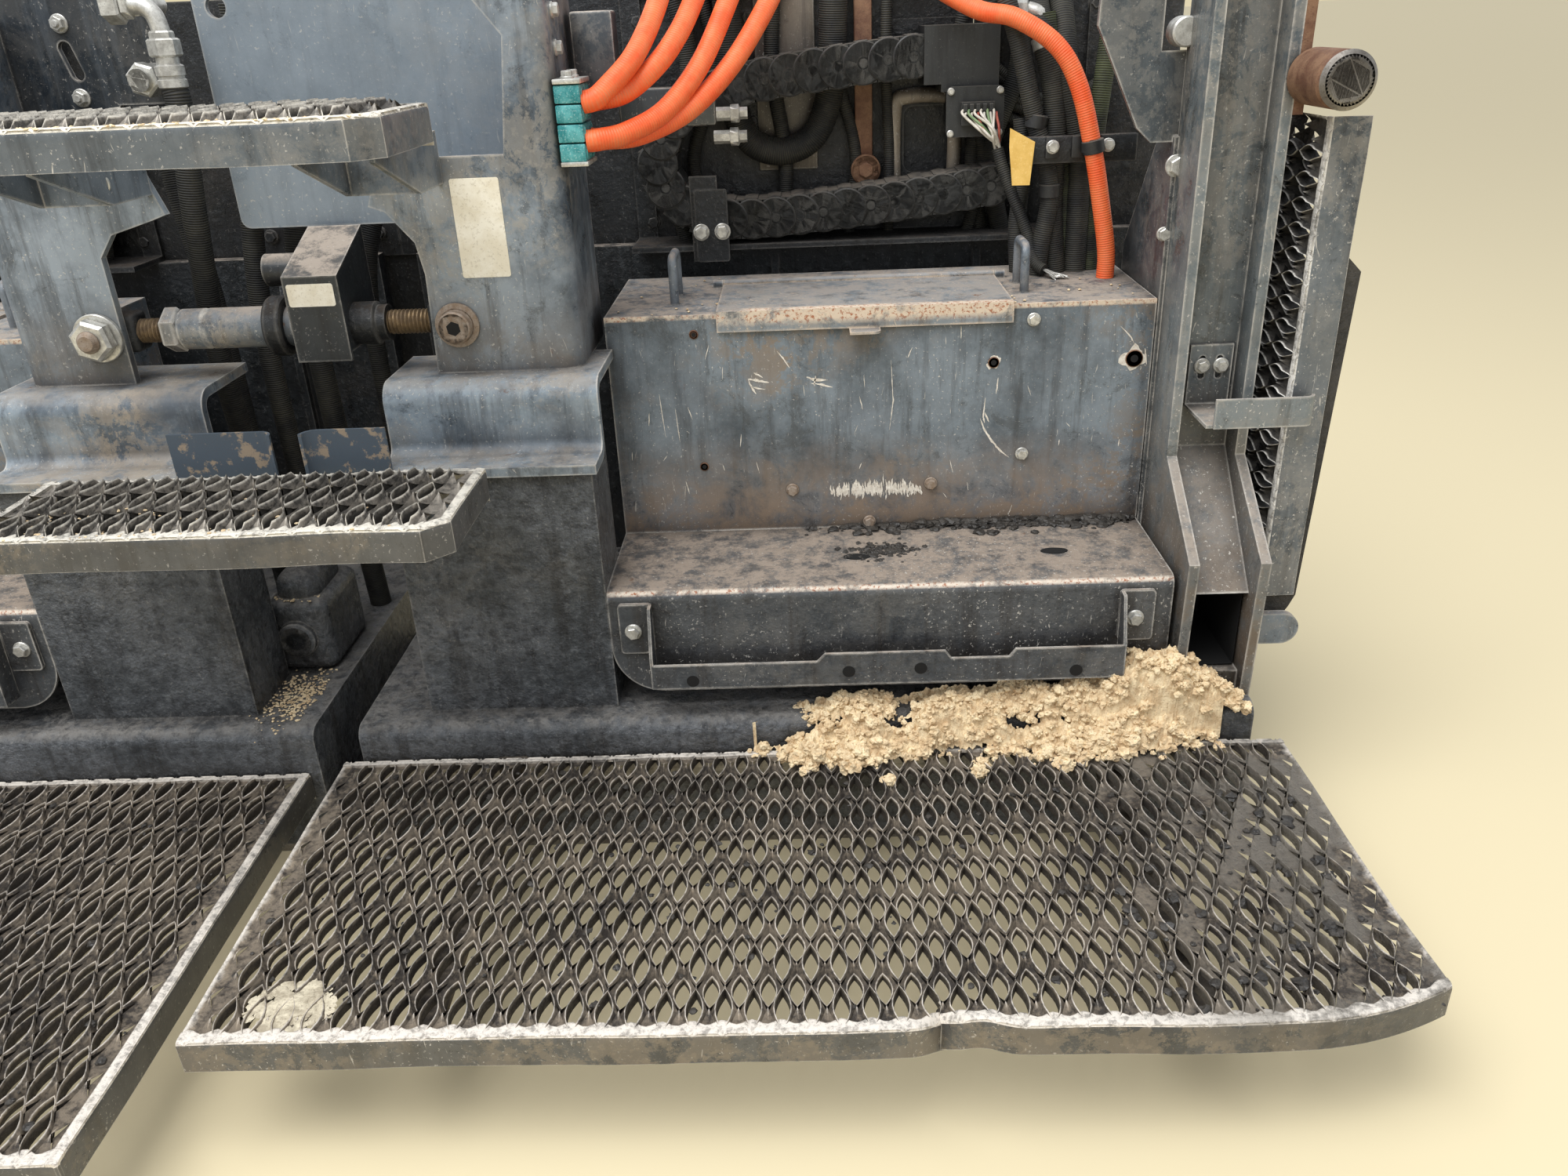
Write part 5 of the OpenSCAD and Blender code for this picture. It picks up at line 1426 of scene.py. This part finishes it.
def make_scratches(finish):
    """Where chains and tools have struck the locker: strokes down to the pale primer."""
    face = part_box("locker_right")[0].y / MM - 0.2
    bm = bmesh.new()
    for route, width in (
            ([(592, 613), (600, 603), (608, 590)], 2.2), ([(552, 577), (566, 574), (580, 571)], 4),
            ([(552, 577), (556, 566), (562, 556)], 3), ([(560, 585), (572, 578)], 2.4),
            ([(556, 566), (574, 562)], 2.6), ([(630, 577), (642, 572), (656, 572)], 4.5),
            ([(636, 568), (650, 566), (664, 562)], 3.2), ([(642, 578), (640, 564)], 2.4),
            ([(884, 567), (882, 545)], 2), ([(868, 540), (866, 514), (868, 505)], 2.4),
            ([(862, 512), (868, 496), (878, 480), (890, 466), (903, 455)], 3.2),
            ([(868, 520), (874, 506)], 2.6), ([(1040, 630), (1054, 616), (1060, 606)], 2.2),
            ([(1074, 600), (1078, 578)], 2.2), ([(770, 612), (764, 598)], 1.6),
            ([(742, 596), (745, 540), (740, 500)], 1.3), ([(700, 548), (704, 530)], 1.6),
            ([(432, 560), (436, 500)], 1.2), ([(452, 540), (455, 492)], 1.2)):
        add_scratch(bm, route, width, face)
    for _ in range(230):
        x, z = rng.uniform(659, 783), rng.gauss(412, 3.5)
        tall = rng.uniform(3, 16) * (0.4 + 0.6 * math.sin(math.pi * (x - 655) / 132))
        add_scratch(bm, [(x, z + tall), (x + rng.uniform(-2, 2), z - 3)],
                    rng.uniform(1.0, 3.6), face - rng.uniform(0.0, 0.5))
    for _ in range(26):
        x, z = rng.uniform(385, 1070), rng.uniform(380, 650)
        lean = rng.uniform(-6, 6)
        add_scratch(bm, [(x, z), (x + lean, z - rng.uniform(6, 22))], rng.uniform(0.8, 1.5),
                    face)
    add_piece("primer_scratches", bm, finish["primer"])


# Dirt


def add_clod(bm, place, size, squash, detail=2):
    """One dried lump at a place (mm): a sphere pushed in and out by noise and flattened."""
    made = bmesh.ops.create_icosphere(bm, subdivisions=detail, radius=1.0)["verts"]
    seed = Vector((rng.uniform(0, 90), rng.uniform(0, 90), rng.uniform(0, 90)))
    for v in made:
        n = 0.55 * noise.noise(v.co * 1.4 + seed) + 0.75 * abs(noise.noise(v.co * 2.9 + seed))
        v.co = v.co * (0.8 + n)
        v.co.z *= squash
    spin = Matrix.Rotation(rng.uniform(0, 6.28), 4, "Z")
    bmesh.ops.transform(bm, matrix=Matrix.Translation(Vector(place) * MM) @ spin
                        @ Matrix.Scale(size * MM, 4), verts=made)


def add_crumbs(bm, count, spot, least, most, detail):
    """Scatters flat clods from least to most mm: spot draws the place of each."""
    batch = bmesh.new()
    for _ in range(count):
        add_clod(batch, spot(), rng.uniform(least, most), 0.5, detail)
    join(bm, batch)


def heap_height(x, y):
    """Top of the shovelled sand (mm) over a point of the base's edge or the walkway."""
    lump = (24 * noise.noise(Vector((x, y, 0)) * 0.021)
            + 14 * noise.noise(Vector((x, y, 40)) * 0.06)
            + 15 * abs(noise.noise(Vector((x, y, 80)) * 0.12))
            + 8 * abs(noise.noise(Vector((x, y, 9)) * 0.3)))
    ridge = 12 + 64 * math.exp(-((x - 1075) / 78) ** 2) + 20 * math.exp(-((x - 900) / 210) ** 2)
    ends = min(1.0, (x - 596) / 60, (1182 - x) / 22)
    upper = 176 + ends * ridge * max(0.0, 1 - ((y - 26) / 34) ** 2) ** 0.5 + 0.8 * lump
    front = 44 + 20 * math.sin(x * 0.021) + 24 * noise.noise(Vector((x * 0.03, 5, 0)))
    ends = min(1.0, (x - 540) / 90, (1150 - x) / 30)
    spill = 134 + ends * 56 * max(0.0, 1 + y / front) ** 0.8 + 0.8 * lump
    return max(upper if y > -6 else 0, spill if y < 8 else 0)


def make_sand_heap(finish):
    """Sand that was shovelled off: a crumbly heap on the base's edge that spills on the
    walkway."""
    walkway_top, edge_top = 150, 188
    bm = bmesh.new()
    bmesh.ops.create_grid(bm, x_segments=300, y_segments=56, size=0.5)
    lost = []
    for v in bm.verts:
        x, y = 530 + 660 * (v.co.x + 0.5), -82 + 123 * (v.co.y + 0.5)
        z = heap_height(x, y)
        v.co = Vector((x + rng.uniform(-0.6, 0.6), y + rng.uniform(-0.6, 0.6), z)) * MM
        if z < (walkway_top if y < -6 else edge_top):
            lost.append(v)
    bmesh.ops.delete(bm, geom=lost, context="VERTS")
    heap = [v for v in bm.verts if v.link_faces]
    bmesh.ops.delete(bm, geom=[v for v in bm.verts if not v.link_faces], context="VERTS")
    seats = [(v.co.x / MM, v.co.y / MM, v.co.z / MM) for v in heap]
    for _ in range(40):
        batch = bmesh.new()
        for _ in range(32):
            x, y, z = rng.choice(seats)
            size = rng.choice((1.5, 2, 2.5, 3, 4, 5, 7)) * (1.3 if y < -25 else 1)
            add_clod(batch, (x + rng.uniform(-9, 9), y - rng.uniform(0, 8), z - 0.3 * size),
                     size, 0.85, detail=3 if size > 6 else 2)
        join(bm, batch)
    add_piece("sand_heap", bm, finish["clods"])


def make_mud(finish):
    """A flat handful of dried mud on the walkway's inner corner."""
    bm = bmesh.new()
    for _ in range(170):
        a, d = rng.uniform(0, 6.28), rng.random() ** 0.6
        add_clod(bm, (105 + 44 * d * math.cos(a), -438 + 34 * d * math.sin(a),
                      148.5 + 2.5 * (1 - d)), rng.uniform(3, 11) * (1.1 - 0.5 * d), squash=0.14)
    add_piece("dried_mud", bm, finish["mud"], smooth=70)


def make_crumbs(finish):
    """Crumbs of asphalt on the walkways, the ledge, the rail and the base, and of dust on
    the steps, the base by the lug and the lid."""
    bm = bmesh.new()
    for count, spot, size in (
            (170, lambda: (rng.uniform(20, 1215), rng.uniform(-470, -15), 148), 5),
            (90, lambda: (rng.uniform(950, 1215), rng.uniform(-470, -100), 148), 9),
            (110, lambda: (rng.uniform(-900, -60), rng.uniform(-585, -15), 127), 6),
            (330, lambda: (rng.triangular(600, 1078, 1040), 234 - rng.expovariate(0.14),
                           361), 9),
            (90, lambda: (rng.uniform(780, 1078), 231, 364), 11),
            (170, lambda: (rng.gauss(724, 24), rng.gauss(146, 13), 360.2), 4.5),
            (60, lambda: (rng.gauss(330, 30), rng.uniform(490, 560), 194), 9)):
        add_crumbs(bm, count, spot, 1.2, size, detail=2)
    add_piece("asphalt_crumbs", bm, finish["tar_lumps"])
    bm = bmesh.new()
    for count, spot in (
            (150, lambda: (rng.uniform(-250, 250), rng.triangular(-194, -150, -194), 945)),
            (150, lambda: (rng.triangular(-250, 230, -180), rng.triangular(-194, -80, -192),
                           554)),
            (520, lambda: (rng.triangular(-136, -48, -70), rng.gauss(88, 34), 194)),
            (40, lambda: (rng.uniform(-130, -64), rng.uniform(168, 190), 300)),
            (60, lambda: (rng.uniform(380, 1070), rng.uniform(236, 470), 665.5))):
        add_crumbs(bm, count, spot, 0.8, 2.6, detail=1)
    add_piece("dust_crumbs", bm, finish["clods"])


# Finishes


def make_finishes():
    """Every finish, under the short name that the functions above ask for."""
    return {
        # Blue-grey enamel: satin, and chalky where the sun has faded it
        "paint": worn_paint(
            "alkyd_enamel_blue_grey", coat="#4d5761", faded="#7a848e", rust=0.25,
            film_share=0.25),
        # The same on the centre posts, browned by splashes up to the brackets
        "post": worn_paint(
            "alkyd_enamel_post", coat="#49535d", faded="#8f99a2", rust=0.5, film_share=0.4,
            haze=(585, 730, "#675f58")),
        # Greyer coat of the steps' flanges, chipped at the very edges only
        "plank_paint": worn_paint(
            "alkyd_enamel_plank", coat="#4d5459", faded="#696f74", rust=0.2, edge=1.3,
            chips=1.1, film_share=0.3),
        # Pale grey lid, its rear bend rubbed through to primer and fresh rust
        "lid": worn_paint(
            "alkyd_enamel_lid", coat="#6a747b", faded="#878e93", grime="#50463d",
            chip="#d8c3ab", dust="#99928a", rust=0.75, chips=1.4, edge=5.0,
            lines=((232, 664, 17),)),
        # Locker fronts: blue-black, browner from splashes downwards, with dried films
        "locker": worn_paint(
            "alkyd_enamel_locker", coat="#434d56", faded="#7f8a93", grime="#33373c",
            haze=(365, 500, "#8b7866"), rust=0.4, chips=1.25, film="#837668",
            film_share=0.75, lines=((236, 662, 5),)),
        # Clean smooth panels that turn dark left of the crown post
        "panel": worn_paint(
            "alkyd_enamel_panel", coat="#6f7a84", faded="#828d97", grime="#5b636b",
            rust=0.0, chips=0.6, grime_share=0.3, film_share=0.08,
            shade=(-100, -106, "#20262c")),
        # Dark grey plates in the shade of the rack
        "dark_panel": worn_paint(
            "alkyd_enamel_dark", coat="#3f464b", faded="#565d62", grime="#2a2d30",
            rust=0.2, chips=0.9, film_share=0.2),
        # S-bent brackets: pale with dried films, and dusty on their shoulders
        "bracket": worn_paint(
            "alkyd_enamel_bracket", coat="#4f5963", faded="#96a3ad", grime="#3a4047",
            dust="#a0978b", dust_share=0.45, rust=0.6, film="#b3a38d", film_share=0.6,
            chips=1.1),
        # Wall beside the hot mix, near-black: painted shade for where it lies deep behind the
        # turnbuckle
        "front_wall": worn_paint(
            "enamel_black_painted_shade", coat="#1d2023", faded="#33373a", grime="#131415",
            rust=0.2, chips=0.2, crumbs=0.5, film="#4a443d", film_share=0.2),
        # Hooks flaked in large patches down to primer and rust
        "hook": blotched("enamel_flaked_to_primer", "#55606a", "#a4937e", "#6b4736",
                         patch=26, share=(0.55, 0.6), rough=(0.4, 0.6), grain=2.0,
                         relief=0.2, speck=0.2),
        # The ledge over the rail: dusty on top, its bend rubbed to primer and rust
        "ledge": worn_paint(
            "alkyd_enamel_ledge", coat="#3f4347", faded="#56585a", grime="#302c2a",
            dust="#998b7d", dust_share=0.8, rust=0.6, crumbs=0.3, chips=1.2, film_share=0.12,
            lines=((44, 358, 6),), rub="#dccfbf"),
        # Base and rear wall: enamel under crumbs of asphalt, with painted shade between them and a
        # painted highlight on their tops
        "tarred": worn_paint(
            "enamel_under_asphalt", coat="#3f4347", faded="#6c6f73", grime="#202022",
            dust="#8b8781", dust_share=0.6, rust=0.05, crumbs=1.0, gloss=0.14,
            chips=0.35, film_share=0.12),
        # The inside of the rack: near-black, a painted shade, and dusty on what faces up
        "inside": worn_paint(
            "near_black_enamel_painted_shade", coat="#16181b", faded="#26292c", grime="#0f0d0c",
            dust="#3c342d", dust_share=0.9, rust=0.3, chips=0.15, crumbs=0.3,
            film="#4a443d", film_share=0.2, corner_shade="#0b0a09"),
        # Near-black cover of the turnbuckle
        "cover": worn_paint(
            "alkyd_enamel_cover", coat="#24282c", faded="#34393d", grime="#17181a",
            rust=0.2, chips=0.5, film_share=0.15),
        # Grey end posts, brown from splashes at the foot
        "end_post": worn_paint(
            "alkyd_enamel_end_post", coat="#4b5459", faded="#787f82", grime="#35332f",
            film_share=0.35, rust=0.5, haze=(330, 560, "#6b5f53"), chips=1.2),
        # Trodden steel: rims trodden bright, partly a painted highlight, over bowls in painted
        # shade, tarred at the outer end
        "walkway": grating_steel("stretched_steel_walkway", rim="#f2eadf", web="#a0927f",
                                 bowl_in_painted_shade="#3a342f", tar_from=(900, 1130), bright_to=(-482, -250)),
        # The steps' gratings: paler, for boots land here first, with bowls in painted shade
        "step": grating_steel("stretched_steel_step", rim="#f0eadd", web="#aca498",
                              bowl_in_painted_shade="#403d39", bright_to=(-195, -140)),
        # The end walkways stand on edge, so their bowls keep no dust; their near-black is painted
        # shade
        "end_deck": grating_steel("stretched_steel_end_walkway", rim="#f4f1ea",
                                  web="#6d6862", bowl_in_painted_shade="#262523"),
        # Dark grey flanges of the walkways under a brown film
        "flange": worn_paint("enamel_plank_flange", coat="#424344", faded="#5c5c5b",
                             grime="#3a3733", rust=0.4, chips=0.8, dust_share=0.5,
                             edge=1.3, grime_share=0.5, film="#8f826f", film_share=0.4),
        # Turnbuckle tube: grey enamel with rust and cream films
        "tube": worn_paint("alkyd_enamel_tube", coat="#535c65", faded="#7d858b",
                           grime="#3f3b37", rust=0.9, chips=1.2, film="#cbbda8",
                           film_share=0.4),
        # Window frames under an even coat of tan dust
        "tan": worn_paint(
            "enamel_tan_dusty", coat="#7d7365", faded="#9f9484", grime="#3c342c",
            dust="#a2927c", rust=0.7, chips=1.0),
        # Brown dusty bolts with a little shine left
        "old_bolt": blotched("phosphated_steel_dusty", "#8d7a68", "#a4978a", "#5b4636",
                             patch=8, rough=(0.5, 0.75), grain=1.5, relief=0.3,
                             metallic=0.35),
        # Holes, where the eye meets nothing but shade
        "black": blotched("hole_in_shadow", "#0b0b0b", "#131211", patch=30,
                          rough=(0.8, 0.9), grain=3.0, relief=0.1),
        # Pale cracked mud, quite matt
        "mud": blotched("dried_mud_pale", "#a59a85", "#d6ccb4", "#7d715f", patch=16,
                        rough=(0.85, 0.95), grain=2.5, relief=1.2, speck=0.5),
        # Black crumbs, some glossy and some dulled by dust
        "tar_lumps": blotched("asphalt_crumbs", "#252321", "#3e3a35", "#6d655b", patch=14,
                              rough=(0.3, 0.7), grain=2.0, relief=1.0, speck=0.3),
        # Wire insulation in dull white, red and green
        "wire_pale": blotched("wire_insulation_white", "#d8d3c8", "#b9b2a4", patch=12,
                              rough=(0.4, 0.6), grain=2.0, relief=0.05),
        "wire_red": blotched("wire_insulation_red", "#8f3a2c", "#a65a48", patch=12,
                             rough=(0.4, 0.6), grain=2.0, relief=0.05),
        "wire_green": blotched("wire_insulation_green", "#5f7c54", "#7d8f66", patch=12,
                               rough=(0.4, 0.6), grain=2.0, relief=0.05),
        # Chalky primer that shows pale in the scratches
        "primer": blotched("primer_flaked", "#cfc8bb", "#ece6da", "#9a6a4c", patch=6,
                           rough=(0.6, 0.8), grain=1.5, relief=0.2, speck=0.5),
        # Threads with brown oil in them, half shiny
        "rod": blotched("threaded_rod_oiled", "#8a7558", "#6b5a46", "#3d3226", patch=12,
                        rough=(0.35, 0.6), grain=1.4, relief=0.3, metallic=0.6),
        # Bare steel rusted to an uneven matt brown
        "rust": blotched("bare_steel_rusted", "#6b4a38", "#8a6a52", "#4a3226", patch=22,
                         rough=(0.6, 0.85), grain=1.6, relief=0.6, metallic=0.2),
        # Zinc plating: pale, half shiny, spotted brown
        "zinc": blotched("zinc_plated_steel", "#d8d7d1", "#aeaca6", "#6b5d4f", patch=11,
                         rough=(0.25, 0.5), grain=1.6, relief=0.08, metallic=0.55, speck=0.25),
        # Sole steel scraped bright by the mat
        "sole": blotched("scraped_sole_steel", "#9a9690", "#6f6a64", "#4b4038", patch=60,
                         rough=(0.35, 0.6), grain=2.5, relief=0.3, metallic=0.8),
        # Black polyamide greyed by dust, softly shining, its edges lightened partly by scuffs and
        # partly as a painted highlight that outlines the links
        "plastic": worn_paint(
            "moulded_polyamide_dust_and_edge_highlight", coat="#202224", faded="#2d2f30", grime="#141414",
            dust="#6d655b", chip="#65625c", rust=0.0, chips=0.4, gloss=0.45, edge=1.6,
            film="#5b554c", film_share=0.2, corner_shade="#0c0b0a"),
        # Teal clamp blocks with pale scuffs
        "teal": blotched("moulded_polypropylene_teal", "#1f7a7e", "#5aa7a9", "#c9d6d2",
                         patch=16, rough=(0.45, 0.7), grain=2.0, relief=0.2, speck=0.4),
        # Orange corrugated sleeve, softly shining, dusty on its rings
        "orange": corrugated("sleeve_polyamide_orange", "#ee5d2b", "#f0743f", "#c98a64",
                             ring=3.2, relief=0.25, rough=0.5),
        # Black braided hose, matt, with brown dust in the braid
        "hose": corrugated("braided_rubber_hose", "#18191a", "#2a2a27", "#625c48",
                           ring=3.0, relief=0.5, rough=0.7),
        # The same with a green film
        "moss": corrugated("braided_hose_mossy", "#1c1e1a", "#3a3f2b", "#6d7547",
                           ring=3.0, relief=0.5, rough=0.75),
        # Sandy clods: pale ochre, matt and rough
        "clods": blotched("dried_sandy_clods", "#d0b58e", "#f0dcb6", "#a88d69", patch=14,
                          rough=(0.85, 0.98), grain=2.2, relief=2.4, speck=0.6),
        # Cream vinyl with brown specks
        "label": blotched("label_vinyl_cream", "#f0ebdd", "#e2dac6", "#b3a891", patch=30,
                          rough=(0.4, 0.6), grain=3.0, relief=0.05, speck=0.4),
        # Yellow polyester, smooth and a little creased
        "tag": blotched("tag_polyester_yellow", "#dcb562", "#cfa650", "#f0d592", patch=20,
                        rough=(0.35, 0.5), grain=3.0, relief=0.1, speck=0.3),
    }


NODE_FINISH = {
    "locker": ("locker_right", "locker_left"),
    "lid": ("lid_right", "lid_left"),
    "panel": ("centre_panels",),
    "ledge": ("ledge_cover_right", "ledge_cover_left", "tool_rails"),
    "tarred": ("base_frame_right", "base_frame_left", "rear_wall_right", "rear_wall_left",
               "tow_brackets"),
    "inside": ("carrier_frames",),
    "post": ("centre_post_right", "centre_post_left"),
    "bracket": ("crown_bracket_right", "crown_bracket_left"),
    "front_wall": ("front_wall_right", "front_wall_left"),
    "hook": ("tool_hooks",),
    "end_post": ("end_post_right", "end_post_left", "hook_brackets"),
    "dark_panel": ("side_plates",),
    "cover": ("turnbuckle_cover",),
    "rust": ("stops",),
    "zinc": ("hose_fittings", "turnbuckle"),
    "sole": ("sole_plate_right", "sole_plate_left"),
    "plastic": ("cable_carriers", "connector_boxes", "carrier_covers"),
    "teal": ("hose_clamps",),
}


def paint_nodes(finish):
    """Gives every carried-over solid its finish; what isn't named is blue-grey enamel."""
    named = {n: key for key, names in NODE_FINISH.items() for n in names}
    for name, obj in nodes.items():
        mat = finish[named.get(name, "paint")]
        obj.data.materials.clear()
        obj.data.materials.append(mat)


add_camera()
add_world()
add_lamp("sky_panel", size=3.4, power=210.0, place=(-0.6, -1.5, 4.4), aim=(0.4, 0.1, 0.3))
add_floor()
finish = make_finishes()
paint_nodes(finish)
make_gratings(finish)
make_hoses(finish)
make_turnbuckle(finish)
make_clamp_stack(finish)
make_clamp_bar(finish)
make_plate_bolts(finish)
make_rims(finish)
make_shade_in_holes(finish)
make_labels(finish)
make_connector(finish)
make_cut_cable(finish)
make_tag(finish)
make_fittings(finish)
make_scratches(finish)
make_carriers(finish)
make_shade_plates(finish)
make_crown_lug(finish)
make_window_frames(finish)
make_link_arms(finish)
make_conduits(finish)
make_hanging_hoses(finish)
make_elbows(finish)
make_stay_plates(finish)
make_sand_heap(finish)
make_mud(finish)
make_crumbs(finish)
scene.view_settings.view_transform = "Standard"
